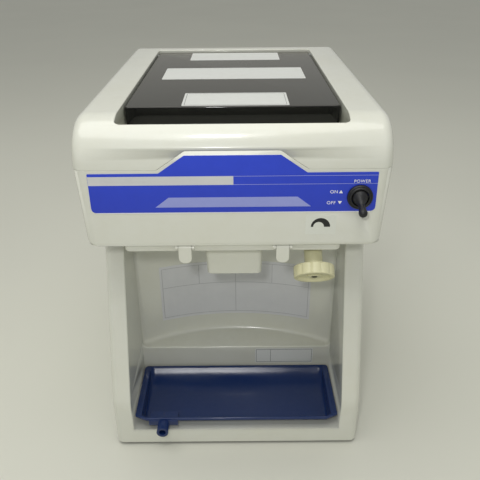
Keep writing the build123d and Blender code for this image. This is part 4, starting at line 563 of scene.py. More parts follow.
def softened(node, radius, steps=3, angle=32.0):
    """Stands for a CAD node with its sharp edges rounded. radius is a length, or gives one for an edge's middle."""
    source = NODES[node]
    slot = source.data.materials[0].name
    form = merged_copy(node)
    wall = BVHTree.FromBMesh(form)
    weight = form.edges.layers.float.new("bevel_weight_edge")
    sharp = [
        edge for edge in form.edges
        if len(edge.link_faces) == 2 and edge.is_convex and edge.calc_face_angle() > math.radians(angle)
    ]
    wanted = {}
    for edge in sharp:
        middle = (edge.verts[0].co + edge.verts[1].co) / 2
        wanted[edge] = radius(middle) if callable(radius) else radius
    widest = max(wanted.values())
    for edge, width in wanted.items():
        edge[weight] = width / widest
    piece = smooth(from_form(node + "_soft", form), 180.0)
    bevel = piece.modifiers.new("Edge", "BEVEL")
    bevel.width = widest
    bevel.segments = steps
    bevel.limit_method = "WEIGHT"
    bevel.use_clamp_overlap = False
    bevel.harden_normals = True
    bevel.miter_outer = "MITER_ARC"
    tamed(plain(piece), wall, 0.45 * widest)
    return coat(piece, slot, source["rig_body"], slot, node)


def tamed(piece, wall, reach):
    """Draws a bevel's stray corners, farther than reach from the wall, back to sound ones beside them."""
    form = bmesh.new()
    form.from_mesh(piece.data)
    stray = {vert for vert in form.verts if wall.find_nearest(vert.co)[3] > reach}
    while stray:
        settled = set()
        for vert in stray:
            sound = [edge.other_vert(vert) for edge in vert.link_edges if edge.other_vert(vert) not in stray]
            if sound:
                vert.co = min(sound, key=lambda other: (other.co - vert.co).length).co
                settled.add(vert)
        if not settled:
            break
        stray -= settled
    bmesh.ops.remove_doubles(form, verts=form.verts, dist=0.002 * MM)
    form.to_mesh(piece.data)
    form.free()
    return piece


def rounded_path(corners, steps=4):
    """Points round a closed outline whose corners are each (x, y, radius)."""
    points = []
    count = len(corners)
    for index, (x, y, radius) in enumerate(corners):
        corner = Vector((x, y))
        before = Vector(corners[index - 1][:2]) - corner
        after = Vector(corners[(index + 1) % count][:2]) - corner
        if radius <= 0:
            points.append(tuple(corner))
            continue
        half = before.angle(after) / 2
        reach = min(radius / math.tan(half), before.length / 2, after.length / 2)
        start = corner + before.normalized() * reach
        end = corner + after.normalized() * reach
        for step in range(steps + 1):
            t = step / steps
            points.append(tuple(start * (1 - t) ** 2 + corner * (2 * t * (1 - t)) + end * t ** 2))
    return points


def rectangle(left, right, low, high, radius=0.0):
    return rounded_path([(left, low, radius), (right, low, radius), (right, high, radius), (left, high, radius)])


def add_slab(form, outline, low, high, place=LEVEL):
    """Adds a closed plate to form: outline in millimetres on a plane, from low to high above it."""
    lower = [form.verts.new(place @ (Vector((x, y, low)) * MM)) for x, y in outline]
    upper = [form.verts.new(place @ (Vector((x, y, high)) * MM)) for x, y in outline]
    form.faces.new(list(reversed(lower)))
    form.faces.new(upper)
    for index in range(len(outline)):
        after = (index + 1) % len(outline)
        form.faces.new((lower[index], lower[after], upper[after], upper[index]))


def slabs(name, outlines, low, high, place=LEVEL):
    form = bmesh.new()
    for outline in outlines:
        add_slab(form, outline, low, high, place)
    return from_form(name, form)


def border(left, right, low, high, width):
    """Four strips just inside a rectangle."""
    return [
        rectangle(left, right, low, low + width),
        rectangle(left, right, high - width, high),
        rectangle(left, left + width, low + width, high - width),
        rectangle(right - width, right, low + width, high - width),
    ]


# ---------------------------------------------------------------- Geometry Nodes trees
GEOMETRY_KINDS = {
    "int": "NodeSocketInt", "length": "NodeSocketFloat", "material": "NodeSocketMaterial",
    "geometry": "NodeSocketGeometry",
}


def geometry_tree(name, inputs):
    """A Geometry Nodes tree with named inputs: its wires, its inputs by name and its output socket."""
    tree = bpy.data.node_groups.new(name, "GeometryNodeTree")
    tree.interface.new_socket("Geometry", in_out="OUTPUT", socket_type="NodeSocketGeometry")
    for label, (kind, default) in {"Geometry": ("geometry", None), **inputs}.items():
        socket = tree.interface.new_socket(label, in_out="INPUT", socket_type=GEOMETRY_KINDS[kind])
        if kind == "length":
            socket.subtype = "DISTANCE"
        if default is not None:
            socket.default_value = default
    wires = Wires(tree)
    given = wires.node("NodeGroupInput").outputs
    result = wires.node("NodeGroupOutput").inputs[0]
    return wires, given, result


def finish_tree(wires, geometry, given, result):
    """Ends a tree in Realize Instances and then Set Material. Ends a tree as the export
    needs it.
    """
    real = wires.node("GeometryNodeRealizeInstances", {0: geometry}).outputs[0]
    wires.join(wires.node("GeometryNodeSetMaterial", {0: real, "Material": given["Material"]}).outputs[0], result)
    return wires.tree


def grown(piece, tree, **values):
    """Runs a tree on a piece with these named inputs, and keeps the plain result."""
    modifier = piece.modifiers.new(tree.name, "NODES")
    modifier.node_group = tree
    keys = {item.name: item.identifier for item in tree.interface.items_tree if item.in_out == "INPUT"}
    for label, value in values.items():
        modifier[keys[label.replace("_", " ")]] = value
    return plain(piece)


def turned_tree():
    """Turns a profile of (radius, height) points about the Z axis, with lobes where it is marked fluted."""
    inputs = {"Steps": ("int", 96), "Lobes": ("int", 12), "Lobe Depth": ("length", 0.0), "Material": ("material", None)}
    wires, given, result = geometry_tree("Turned piece", inputs)
    profile = given["Geometry"]
    count = wires.node("GeometryNodeAttributeDomainSize", {0: profile}).outputs["Point Count"]
    columns = wires.math("ADD", given["Steps"], 1.0)
    grid = wires.node("GeometryNodeMeshGrid", {"Vertices X": columns, "Vertices Y": count}).outputs[0]
    index = wires.node("GeometryNodeInputIndex").outputs[0]
    row = wires.math("FLOORED_MODULO", index, count)
    column = wires.math("FLOOR", wires.math("DIVIDE", index, count))
    angle = wires.math("MULTIPLY", wires.math("DIVIDE", column, given["Steps"]), math.tau)
    spot = wires.node("GeometryNodeInputPosition").outputs[0]
    taken = wires.node("GeometryNodeSampleIndex", {0: profile, 1: spot, "Index": row}, data_type="FLOAT_VECTOR")
    parts = wires.node("ShaderNodeSeparateXYZ", {0: taken.outputs[0]}).outputs
    wave = wires.math("ABSOLUTE", wires.math("COSINE", wires.math(
        "MULTIPLY", wires.math("MULTIPLY", angle, given["Lobes"]), 0.5)))
    dip = wires.math("MULTIPLY", wires.math("POWER", wires.math("SUBTRACT", 1.0, wave), 1.6), given["Lobe Depth"])
    radius = wires.math("SUBTRACT", parts["X"], wires.math("MULTIPLY", dip, parts["Y"]))
    place = wires.node("ShaderNodeCombineXYZ", {
        "X": wires.math("MULTIPLY", radius, wires.math("COSINE", angle)),
        "Y": wires.math("MULTIPLY", radius, wires.math("SINE", angle)),
        "Z": parts["Z"],
    }).outputs[0]
    moved = wires.node("GeometryNodeSetPosition", {0: grid, "Position": place}).outputs[0]
    joined = wires.node("GeometryNodeMergeByDistance", {0: moved, "Distance": 0.001 * MM}).outputs[0]
    return finish_tree(wires, joined, given, result)


def recess_tree():
    """Cuts a cross recess into each screw, at the seat points that come loose with the mesh."""
    inputs = {
        "Recess Width": ("length", 0.9 * MM), "Recess Span": ("length", 4.0 * MM), "Recess Depth": ("length", 1.2 * MM),
        "Material": ("material", None),
    }
    wires, given, result = geometry_tree("Cross recess", inputs)
    seat = wires.node("GeometryNodeInputNamedAttribute", {"Name": "seat"}, data_type="BOOLEAN").outputs[0]
    parts = wires.node("GeometryNodeSeparateGeometry", {0: given["Geometry"], 1: seat}, domain="POINT").outputs
    points = wires.node("GeometryNodeMeshToPoints", {0: parts[0]}).outputs[0]
    deep = wires.math("MULTIPLY", given["Recess Depth"], 2.0)

    def bar(across, along):
        size = wires.node("ShaderNodeCombineXYZ", {"X": across, "Y": along, "Z": deep}).outputs[0]
        return wires.node("GeometryNodeMeshCube", {"Size": size}).outputs[0]

    cross = wires.node("GeometryNodeJoinGeometry")
    for piece in (bar(given["Recess Width"], given["Recess Span"]), bar(given["Recess Span"], given["Recess Width"])):
        wires.tree.links.new(piece, cross.inputs[0])
    aim = wires.node("GeometryNodeInputNamedAttribute", {"Name": "aim"}, data_type="FLOAT_VECTOR").outputs[0]
    turn = wires.node("FunctionNodeAlignRotationToVector", {"Vector": aim}, axis="Z").outputs[0]
    tools = wires.node("GeometryNodeInstanceOnPoints", {0: points, "Instance": cross.outputs[0], "Rotation": turn})
    tools = wires.node("GeometryNodeRealizeInstances", {0: tools.outputs[0]}).outputs[0]
    cut = wires.node("GeometryNodeMeshBoolean", {"Mesh 1": parts[1]}, operation="DIFFERENCE", solver="EXACT")
    cut.inputs["Self Intersection"].default_value = True
    wires.tree.links.new(tools, cut.inputs["Mesh 2"])
    return finish_tree(wires, cut.outputs[0], given, result)


def hood_tree():
    """Sets a copy of one louvre lip at each point of the given mesh."""
    inputs = {
        "Lip Length": ("length", 70 * MM), "Lip Reach": ("length", 2.2 * MM), "Lip Height": ("length", 4.5 * MM),
        "Lip Gauge": ("length", 0.7 * MM), "Material": ("material", None),
    }
    wires, given, result = geometry_tree("Louvre lips", inputs)
    arc = wires.node("GeometryNodeCurveArc", {"Resolution": 9, "Radius": 1.0, "Start Angle": 0.0,
                                              "Sweep Angle": math.pi / 2}, mode="RADIUS").outputs[0]
    spot = wires.node("ShaderNodeSeparateXYZ", {0: wires.node("GeometryNodeInputPosition").outputs[0]}).outputs
    bent = wires.node("ShaderNodeCombineXYZ", {
        "Y": wires.math("MULTIPLY", spot["X"], given["Lip Reach"]),
        "Z": wires.math("MULTIPLY", spot["Y"], given["Lip Height"]),
    }).outputs[0]
    shaped = wires.node("GeometryNodeSetPosition", {0: arc, "Position": bent}).outputs[0]
    half = wires.math("MULTIPLY", given["Lip Length"], 0.5)
    ends = [wires.node("ShaderNodeCombineXYZ", {"X": x}).outputs[0]
            for x in (wires.math("MULTIPLY", half, -1.0), half)]
    run = wires.node("GeometryNodeCurvePrimitiveLine", {"Start": ends[0], "End": ends[1]}).outputs[0]
    sections = wires.node("GeometryNodeCurveToMesh", {0: run, 1: shaped, "Fill Caps": False}).outputs[0]
    lips = wires.node("GeometryNodeInstanceOnPoints", {0: given["Geometry"], "Instance": sections}).outputs[0]
    real = wires.node("GeometryNodeRealizeInstances", {0: lips}).outputs[0]
    thick = wires.node("GeometryNodeExtrudeMesh", {0: real, "Offset Scale": given["Lip Gauge"],
                                                   "Individual": False}, mode="FACES")
    back = wires.node("GeometryNodeFlipFaces", {0: real}).outputs[0]
    whole = wires.node("GeometryNodeJoinGeometry")
    for piece in (thick.outputs[0], back):
        wires.tree.links.new(piece, whole.inputs[0])
    merged = wires.node("GeometryNodeMergeByDistance", {0: whole.outputs[0], "Distance": 0.001 * MM}).outputs[0]
    return finish_tree(wires, merged, given, result)


def turned(name, profile, tree, material, place, lobes=1, lobe_depth=0.0, steps=96, angle=40.0):
    """A turned piece from a closed profile of (radius, height, fluted) in millimetres, set by place."""
    form = bmesh.new()
    for radius, height, fluted in profile:
        form.verts.new((radius * MM, fluted, height * MM))
    form.verts.ensure_lookup_table()
    mesh = bpy.data.meshes.new(name)
    form.to_mesh(mesh)
    form.free()
    piece = put(name, mesh)
    values = {"Steps": steps, "Lobes": lobes, "Lobe_Depth": lobe_depth, "Material": bpy.data.materials[material]}
    grown(piece, tree, **values)
    outward(piece)
    piece.data.transform(place)
    return smooth(piece, angle)


def profile_of(corners, fluted=(), steps=4):
    """Closed (radius, height, fluted) points from (radius, height, round) corners. Heights inside fluted are marked."""
    low, high = fluted or (1.0, 0.0)
    points = [(r, h, 1.0 if low <= h <= high and r > 20.0 else 0.0) for r, h in rounded_path(corners, steps)]
    return points + points[:1]


# ---------------------------------------------------------------- operators
class SLICER_OT_finishes(Operator):
    """Build the materials and put one on every node of the frame"""

    bl_idname = "slicer.finishes"
    bl_label = "Finishes"

    def execute(self, context):
        for material in list(bpy.data.materials):
            material.name = "frame_" + material.name
        slots = {name: node.data.materials[0].name[len("frame_"):] for name, node in NODES.items()}
        made = make_finishes()
        for name, slot in slots.items():
            NODES[name].data.materials[0] = made[slot]
        return {"FINISHED"}


class SLICER_OT_housing(Operator):
    """Round the edges of the stand, casing, cover and hopper"""

    bl_idname = "slicer.housing"
    bl_label = "Housing"

    def execute(self, context):
        detail = context.scene.slicer_detail
        softened("stand_body", 1.8 * MM, detail.edge_steps)
        softened("head_casing", self.head_radius, 5)
        softened("upper_cover", self.cover_radius, detail.edge_steps)
        softened("ice_hopper", detail.fine_edge / 2, 2)
        return {"FINISHED"}

    @staticmethod
    def cover_radius(middle):
        """Round edges about the opening, small ones along the seam."""
        detail = bpy.context.scene.slicer_detail
        if middle.z > 410 * MM:
            return detail.edge
        outside = abs(middle.x) > 158 * MM or middle.y < -204 * MM or middle.y > 226 * MM
        return detail.fine_edge if outside and middle.z < 385 * MM else 0.0

    @staticmethod
    def head_radius(middle):
        """Large round edges under the head's sides, small ones on its outside, none within."""
        detail = bpy.context.scene.slicer_detail
        x, y, z = abs(middle.x), middle.y, middle.z
        if z < 291 * MM and (x > 142 * MM or y < -204 * MM or y > 226 * MM):
            inward = max(0.0, 1 - max(0.0, x - 143 * MM) / (12 * MM))
            return detail.head_edge + (detail.head_front_edge - detail.head_edge) * inward
        outside = x > 158 * MM or y < -204 * MM or y > 226 * MM
        return detail.fine_edge if outside and 374 * MM < z < 385 * MM else 0.0


class SLICER_OT_lid(Operator):
    """Round the smoked lid's edges and lay its three blank stickers"""

    bl_idname = "slicer.lid"
    bl_label = "Lid"

    def execute(self, context):
        detail = context.scene.slicer_detail
        softened("lid", 1.4 * MM, 4)
        top = 420.0
        card = detail.sticker / MM
        stickers = {"rear": (-64, 67, 129, 187), "middle": (-91, 92, 3, 72), "front": (-55, 61, -127, -71)}
        outlines = [rectangle(*edges, 2.0) for edges in stickers.values()]
        cards = slabs("lid_stickers", outlines, top - card, top + card)
        coat(smooth(cards), "label_blank", "lid_body", "smoked_lid")
        marks = border(-52.5, 58.5, -124.5, -73.5, 0.4)
        lines = slabs("lid_sticker_lines", marks, top, top + card + detail.ink / MM)
        coat(lines, "print_dark", "lid_body", "smoked_lid")
        return {"FINISHED"}


class SLICER_OT_panel(Operator):
    """Print the control panel's stripe, bar, lines and lettering"""

    bl_idname = "slicer.panel"
    bl_label = "Control panel"

    face = 205.5                 # millimetres in front of the frame's middle

    def execute(self, context):
        ink = context.scene.slicer_detail.ink / MM
        film = rounded_path([
            (-144.5, 331.0, 5.5), (144.5, 331.0, 5.5), (144.5, 373.3, 1.0), (74.0, 373.3, 3.0), (47.5, 391.8, 3.0),
            (-47.5, 391.8, 3.0), (-74.0, 373.3, 3.0), (-144.5, 373.3, 1.0),
        ])
        coat(slabs("panel_film", [film], 205.0, self.face, FRONT), "panel_blue", "housing", "panel_blue", "control_panel")
        low, high = self.face - ink, self.face + ink
        stripe = slabs("panel_stripe", [rectangle(-144.3, 0.5, 361.0, 370.3)], low, high, FRONT)
        coat(stripe, "print_light", "housing", "panel_blue")
        bar = rounded_path([(-79, 336.8, 0), (79, 336.8, 0), (65, 347.6, 0), (-65, 347.6, 0)])
        coat(slabs("panel_bar", [bar], low, high, FRONT), "print_soft", "housing", "panel_blue")
        lines = [rectangle(0.5, 144.3, z, z + 0.45) for z in (361.0, 369.85)]
        coat(slabs("panel_lines", lines, low, high, FRONT), "print_soft", "housing", "panel_blue")
        # Painted highlight: a thin white strip below the film stands for light caught by the film's lower edge
        rim = slabs("panel_rim", [rectangle(-139.5, 139.5, 330.3, 331.0)], 205.0, self.face, FRONT)
        coat(rim, "print_white", "housing", "panel_blue")
        arrows = [[(106.4, 350.9), (110.4, 350.9), (108.4, 354.3)], [(105.9, 342.3), (108.0, 338.9), (110.1, 342.3)]]
        coat(slabs("panel_arrows", arrows, low, high, FRONT), "print_white", "housing", "panel_blue")
        for name, word, x, z, size in (
            ("panel_word_power", "POWER", 129.0, 362.2, 3.2),
            ("panel_word_on", "ON", 101.4, 350.9, 3.4),
            ("panel_word_off", "OFF", 99.2, 338.9, 3.4),
        ):
            coat(self.word(name, word, x, z, size, low, high), "print_white", "housing", "panel_blue")
        self.gauge_mark(ink)
        return {"FINISHED"}

    @staticmethod
    def word(name, text, x, z, size, low, high):
        """One word of plain lettering, centred on x with its foot at z."""
        curve = bpy.data.curves.new(name, "FONT")
        curve.body = text
        curve.size = size * MM / 0.7
        curve.align_x = "CENTER"
        curve.extrude = (high - low) / 2 * MM
        curve.offset = 0.02 * MM
        curve.space_character = 1.1
        piece = plain_curve(name, curve)
        piece.data.transform(FRONT @ Matrix.Translation(Vector((x, z, (low + high) / 2)) * MM))
        return piece

    @staticmethod
    def gauge_mark(ink):
        """The arc that swells from fine to coarse, on its clear sticker above the knob."""
        middle, foot, outer = 90.0, 313.2, 10.0
        turns = [math.pi * (1 - step / 24) for step in range(25)]
        arc = [(middle + outer * math.cos(a), foot + outer * math.sin(a)) for a in turns]
        inner_middle, inner = middle - 2.0, 5.6
        back = [(inner_middle + inner * math.cos(a), foot + inner * math.sin(a)) for a in reversed(turns)]
        card = slabs("gauge_sticker", [rectangle(74.5, 106.0, 304.5, 326.0, 1.5)], 204.9, 205.12, FRONT)
        coat(smooth(card), "label_clear", "housing", "ivory_shell")
        mark = slabs("gauge_mark", [list(reversed(arc + back))], 205.0, 205.12 + ink, FRONT)
        coat(mark, "print_dark", "housing", "ivory_shell")


def plain_curve(name, curve):
    """A closed mesh object from a text or curve."""
    source = bpy.data.objects.new(name + "_source", curve)
    bpy.context.scene.collection.objects.link(source)
    graph = bpy.context.evaluated_depsgraph_get()
    mesh = bpy.data.meshes.new_from_object(source.evaluated_get(graph))
    bpy.data.objects.remove(source)
    return outward(put(name, mesh))


class SLICER_OT_switch(Operator):
    """Turn the toggle's rubber boot and its lever"""

    bl_idname = "slicer.switch"
    bl_label = "Toggle switch"

    pivot = Vector((127.7, -206.0, 347.0))
    tilt = math.radians(22.0)

    def execute(self, context):
        detail = context.scene.slicer_detail
        tree = turned_tree()
        steps = detail.turn_steps
        seat = Matrix.Translation(Vector((self.pivot.x, -205.5, self.pivot.z)) * MM) @ FRONT
        boot = profile_of([
            (8.7, 0.0, 0), (13.0, 0.0, 0.2), (13.0, 2.6, 1.2), (11.9, 3.6, 0.5), (11.2, 3.1, 0.4), (10.3, 4.5, 0.8),
            (9.0, 4.4, 0.4), (8.7, 3.6, 0.3),
        ])
        piece = turned("toggle_boot", boot, tree, "black_rubber", seat, steps=steps)
        coat(piece, "black_rubber", "housing", "black_rubber", "switch_boot")
        aim = Matrix.Rotation(math.pi / 2 + self.tilt, 4, "X")
        lever_place = Matrix.Translation(self.pivot * MM) @ aim
        dome = [(8.5 * math.sin(a), -8.5 * math.cos(a), 0.0) for a in (math.pi * i / 24 for i in range(18))]
        neck = [(5.7, 6.6), (4.9, 7.6), (4.3, 8.8), (3.7, 10.4), (3.2, 12.0), (3.25, 14.0), (3.5, 16.5), (3.85, 19.0),
                (4.2, 21.4)]
        tip = [(4.4 * math.cos(a), 22.6 + 4.4 * math.sin(a)) for a in (math.pi / 2 * i / 8 for i in range(9))]
        profile = dome + [(r, h, 0.0) for r, h in neck + tip]
        piece = turned("toggle_lever", profile, tree, "black_rubber", lever_place, steps=steps, angle=60.0)
        coat(piece, "black_rubber", "switch_lever_body", "black_rubber", "switch_lever")
        return {"FINISHED"}


class SLICER_OT_knob(Operator):
    """Turn the lobed adjusting knob on its slanted collar"""

    bl_idname = "slicer.knob"
    bl_label = "Adjusting knob"

    def execute(self, context):
        detail = context.scene.slicer_detail
        place = Matrix.Translation(Vector((88.0, -198.0, 247.0)) * MM) @ Matrix.Rotation(-math.radians(45.0), 4, "X")
        corners = [
            (0.0, 1.0, 0), (7.4, 1.0, 0.6), (8.0, 3.0, 0.4), (17.0, 3.0, 1.4), (18.6, 0.0, 0.6), (22.5, 0.0, 1.3),
            (22.5, 13.0, 1.6), (10.0, 13.0, 1.2), (10.0, 66.0, 0.6), (5.0, 66.0, 0),
        ]
        profile = profile_of(corners, (1.2, 11.4), 5)
        piece = turned(
            "fluted_knob", profile, turned_tree(), "knob_ivory", place, detail.lobes, detail.lobe_depth,
            detail.lobes * 16, 32.0,
        )
        coat(piece, "knob_ivory", "knob_body", "knob_ivory", "adjust_knob")
        return {"FINISHED"}


class SLICER_OT_chute(Operator):
    """Round the edges of the ice chute, its guard and the two latches"""

    bl_idname = "slicer.chute"
    bl_label = "Chute and guard"

    def execute(self, context):
        detail = context.scene.slicer_detail
        softened("ice_chute", 1.0 * MM, detail.edge_steps)
        for node in ("latch_left", "latch_right"):
            softened(node, detail.fine_edge, detail.edge_steps)
        softened("chute_guard", detail.fine_edge / 2, 2)
        return {"FINISHED"}


class SLICER_OT_tray(Operator):
    """Loft the drip tray's rim, walls and scooped floor, with its boss and spout"""

    bl_idname = "slicer.tray"
    bl_label = "Drip tray"

    half = 128.5
    front, back = -202.0, -101.0
    foot, top = 25.3, 43.8
    scoop_steps = 14
    spout = (-92.0, 35.0)

    def outline(self, side, front, back, corner=5.0, clip=(15.0, 7.0)):
        """The tray's outline, drawn in at its sides, front and back, with both front corners clipped."""
        x, y, far = self.half - side, self.front + front, self.back - back
        return rounded_path([
            (x - clip[0], y, 1.5), (x, y + clip[1], 1.5), (x, far, corner), (-x, far, corner),
            (-x, y + clip[1], 1.5), (-x + clip[0], y, 1.5),
        ])

    def rings(self):
        """Outlines and heights from the underside, round the rim and down the inside to the floor."""
        soft = 0.9
        rings = [(self.outline(6.6, 14.6, 4.6), self.foot), (self.outline(6, 14, 4), self.foot + soft)]
        rings += [(self.outline(1.5, 1.5, 1.5), 39.8), (self.outline(soft / 3, soft / 3, soft / 3), 39.8)]
        rings += [(self.outline(0, 0, 0), 39.8 + soft / 3), (self.outline(0, 0, 0), self.top - soft)]
        rings += [(self.outline(soft / 3, soft / 3, soft / 3), self.top - soft / 3), (self.outline(soft, soft, soft), self.top)]
        mouth = self.outline(8.0, 3.0, 3.0, 6.0, (6.0, 4.0))
        rings += [(self.outline(8.0 - soft, 3.0 - soft, 3.0 - soft, 6.0, (6.4, 4.3)), self.top)]
        floor = self.outline(14.5, 18.5, 40.0, 9.0, (6.0, 4.0))
        for step in range(self.scoop_steps + 1):
            along = step / self.scoop_steps
            drop = 1 - (1 - along) ** 2.2
            ring = [(a[0] + (b[0] - a[0]) * along, a[1] + (b[1] - a[1]) * along) for a, b in zip(mouth, floor)]
            rings.append((ring, self.top - soft / 2 + (self.foot + 3.0 - self.top + soft / 2) * drop))
        return rings

    def execute(self, context):
        form = bmesh.new()
        rows = [[form.verts.new(Vector((x, y, z)) * MM) for x, y in ring] for ring, z in self.rings()]
        form.faces.new(list(reversed(rows[0])))
        for lower, upper in zip(rows, rows[1:]):
            for index in range(len(lower)):
                after = (index + 1) % len(lower)
                form.faces.new((lower[index], lower[after], upper[after], upper[index]))
        form.faces.new(rows[-1])
        pan = from_form("tray_pan", form)
        x, z = self.spout
        boss = slabs("tray_boss", [rectangle(x - 18.2, x + 18.2, 33.3, 41.0, 1.0)], 187.0, 203.0, FRONT)
        at = Matrix.Translation(Vector((x, 0, z)) * MM) @ FRONT
        around = [(math.cos(math.tau * i / 48), math.sin(math.tau * i / 48)) for i in range(48)]
        neck, tube, bore = (
            slabs("tray_" + name, [[(radius * a, radius * b) for a, b in around]], low, high, at)
            for name, radius, low, high in (
                ("neck", 6.25, 189.0, 204.0), ("tube", 7.25, 203.0, 217.0), ("bore", 4.2, 180.0, 219.0),
            )
        )
        for tool, action in ((boss, "UNION"), (neck, "UNION"), (tube, "UNION"), (bore, "DIFFERENCE")):
            cut = pan.modifiers.new(tool.name, "BOOLEAN")
            cut.object = tool
            cut.operation = action
            cut.solver = "EXACT"
            plain(pan)
            bpy.data.objects.remove(tool)
        edge = pan.modifiers.new("Edge", "BEVEL")
        edge.width = 0.4 * MM
        edge.segments = 2
        edge.limit_method = "ANGLE"
        edge.angle_limit = math.radians(50)
        coat(smooth(plain(pan), 40.0), "tray_blue", "tray_body", "tray_blue", "drip_tray")
        return {"FINISHED"}


class SLICER_OT_labels(Operator):
    """Lay the blank sheet on the curved rear wall and the plate on the ledge"""

    bl_idname = "slicer.labels"
    bl_label = "Blank labels"

    def execute(self, context):
        detail = context.scene.slicer_detail
        form = merged_copy("stand_body")
        wall = BVHTree.FromBMesh(form)
        form.free()
        card = detail.sticker
        sheet = self.on_wall("instruction_sheet", wall, (-102.0, 102.0), (104.0, 190.0), 72, 24, card)
        coat(smooth(sheet), "sheet_print", "housing", "ivory_shell")
        ledge = 97.0
        plate = slabs(
            "ledge_plate", [rectangle(26.5, 107.5, 44.7, 69.6, 2.0)], ledge - card / MM, ledge + card / MM, FRONT
        )
        coat(smooth(plate), "label_blank", "housing", "ivory_shell")
        marks = border(28, 106, 46.2, 68.1, 0.4) + [rectangle(48.0, 48.4, 46.2, 68.1)]
        lines = slabs("ledge_plate_lines", marks, ledge, ledge + (card + detail.ink) / MM, FRONT)
        coat(lines, "print_dark", "housing", "ivory_shell")
        return {"FINISHED"}

    @staticmethod
    def on_wall(name, wall, across, up, columns, rows, card):
        """A thin closed sheet that follows the wall behind it."""
        form = bmesh.new()
        layers = []
        for proud in (0.0, card):
            layer = []
            for i in range(columns + 1):
                x = (across[0] + (across[1] - across[0]) * i / columns) * MM
                line = []
                for j in range(rows + 1):
                    z = (up[0] + (up[1] - up[0]) * j / rows) * MM
                    hit = wall.ray_cast(Vector((x, -0.12, z)), Vector((0, 1, 0)))
                    if hit[0] is None:
                        raise RuntimeError(f"no wall behind {name} at x {x:.3f}, z {z:.3f}")
                    line.append(form.verts.new(hit[0] + Vector((0, -proud, 0))))
                layer.append(line)
            layers.append(layer)
        back, front = layers
        for i in range(columns):
            for j in range(rows):
                form.faces.new((front[i][j], front[i + 1][j], front[i + 1][j + 1], front[i][j + 1]))
                form.faces.new((back[i][j], back[i][j + 1], back[i + 1][j + 1], back[i + 1][j]))
        rim = [(i, 0) for i in range(columns)] + [(columns, j) for j in range(rows)]
        rim += [(i, rows) for i in range(columns, 0, -1)] + [(0, j) for j in range(rows, 0, -1)]
        for index, (i, j) in enumerate(rim):
            k, m = rim[(index + 1) % len(rim)]
            form.faces.new((front[i][j], back[i][j], back[k][m], front[k][m]))
        bmesh.ops.recalc_face_normals(form, faces=form.faces)
        return from_form(name, form)


class SLICER_OT_louvres(Operator):
    """Set a pressed lip over each louvre of the rear cover"""

    bl_idname = "slicer.louvres"
    bl_label = "Louvres"

    columns = (-41.0, 41.0)
    middle = 149.0
    pitch = 11.0
    rows = 12

    def execute(self, context):
        detail = context.scene.slicer_detail
        softened("rear_cover", 0.3 * MM, 2)
        form = bmesh.new()
        for x in self.columns:
            for row in range(self.rows):
                z = self.middle + (row - (self.rows - 1) / 2) * self.pitch
                form.verts.new(Vector((x, 221.0, z - 2.0)) * MM)
        lips = from_form("louvre_lips", form)
        grown(lips, hood_tree(), Lip_Reach=detail.hood_reach, Material=bpy.data.materials["stainless"])
        coat(smooth(outward(lips)), "stainless", "housing", "stainless")
        return {"FINISHED"}


class SLICER_OT_screws(Operator):
    """Cut a cross recess in the head of every screw"""

    bl_idname = "slicer.screws"
    bl_label = "Screws"

    nodes = {
        "cover_screws": ((0, 0, -1), 4.6), "plate_screws": ((0, 0, 1), 6.0), "stand_screws": ((0, 0, 1), 7.0),
        "gear_case_screws": ((0, 0, -1), 5.0), "motor_screws": ((0, 0, 1), 3.6), "bowl_screws": ((0, 0, 1), 5.0),
        "rear_screws": ((0, 1, 0), 5.0), "foot_screws": ((0, 0, -1), 5.0),
    }

    def execute(self, context):
        detail = context.scene.slicer_detail
        tree = recess_tree()
        for node, (aim, span) in self.nodes.items():
            source = NODES[node]
            slot = source.data.materials[0].name
            piece = self.seated(node, Vector(aim))
            grown(
                piece, tree, Recess_Width=detail.recess_width, Recess_Span=span * MM,
                Recess_Depth=detail.recess_depth, Material=bpy.data.materials[slot],
            )
            coat(smooth(outward(piece)), slot, source["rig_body"], slot, node)
        return {"FINISHED"}

    @staticmethod
    def seated(node, aim):
        """A merged copy of the screws, with a loose point at each head's middle."""
        form = merged_copy(node)
        seat = form.verts.layers.bool.new("seat")
        toward = form.verts.layers.float_vector.new("aim")
        left = set(form.verts)
        tops = []
        while left:
            island, edge = set(), [next(iter(left))]
            while edge:
                vert = edge.pop()
                if vert in island:
                    continue
                island.add(vert)
                edge.extend(other.other_vert(vert) for other in vert.link_edges)
            left -= island
            reach = max(v.co.dot(aim) for v in island)
            rim = [v.co for v in island if v.co.dot(aim) > reach - 0.01 * MM]
            tops.append(sum(rim, Vector()) / len(rim))
        for top in tops:
            point = form.verts.new(top)
            point[seat] = True
            point[toward] = aim
        mesh = bpy.data.meshes.new(node)
        form.to_mesh(mesh)
        form.free()
        return put(node + "_cut", mesh)


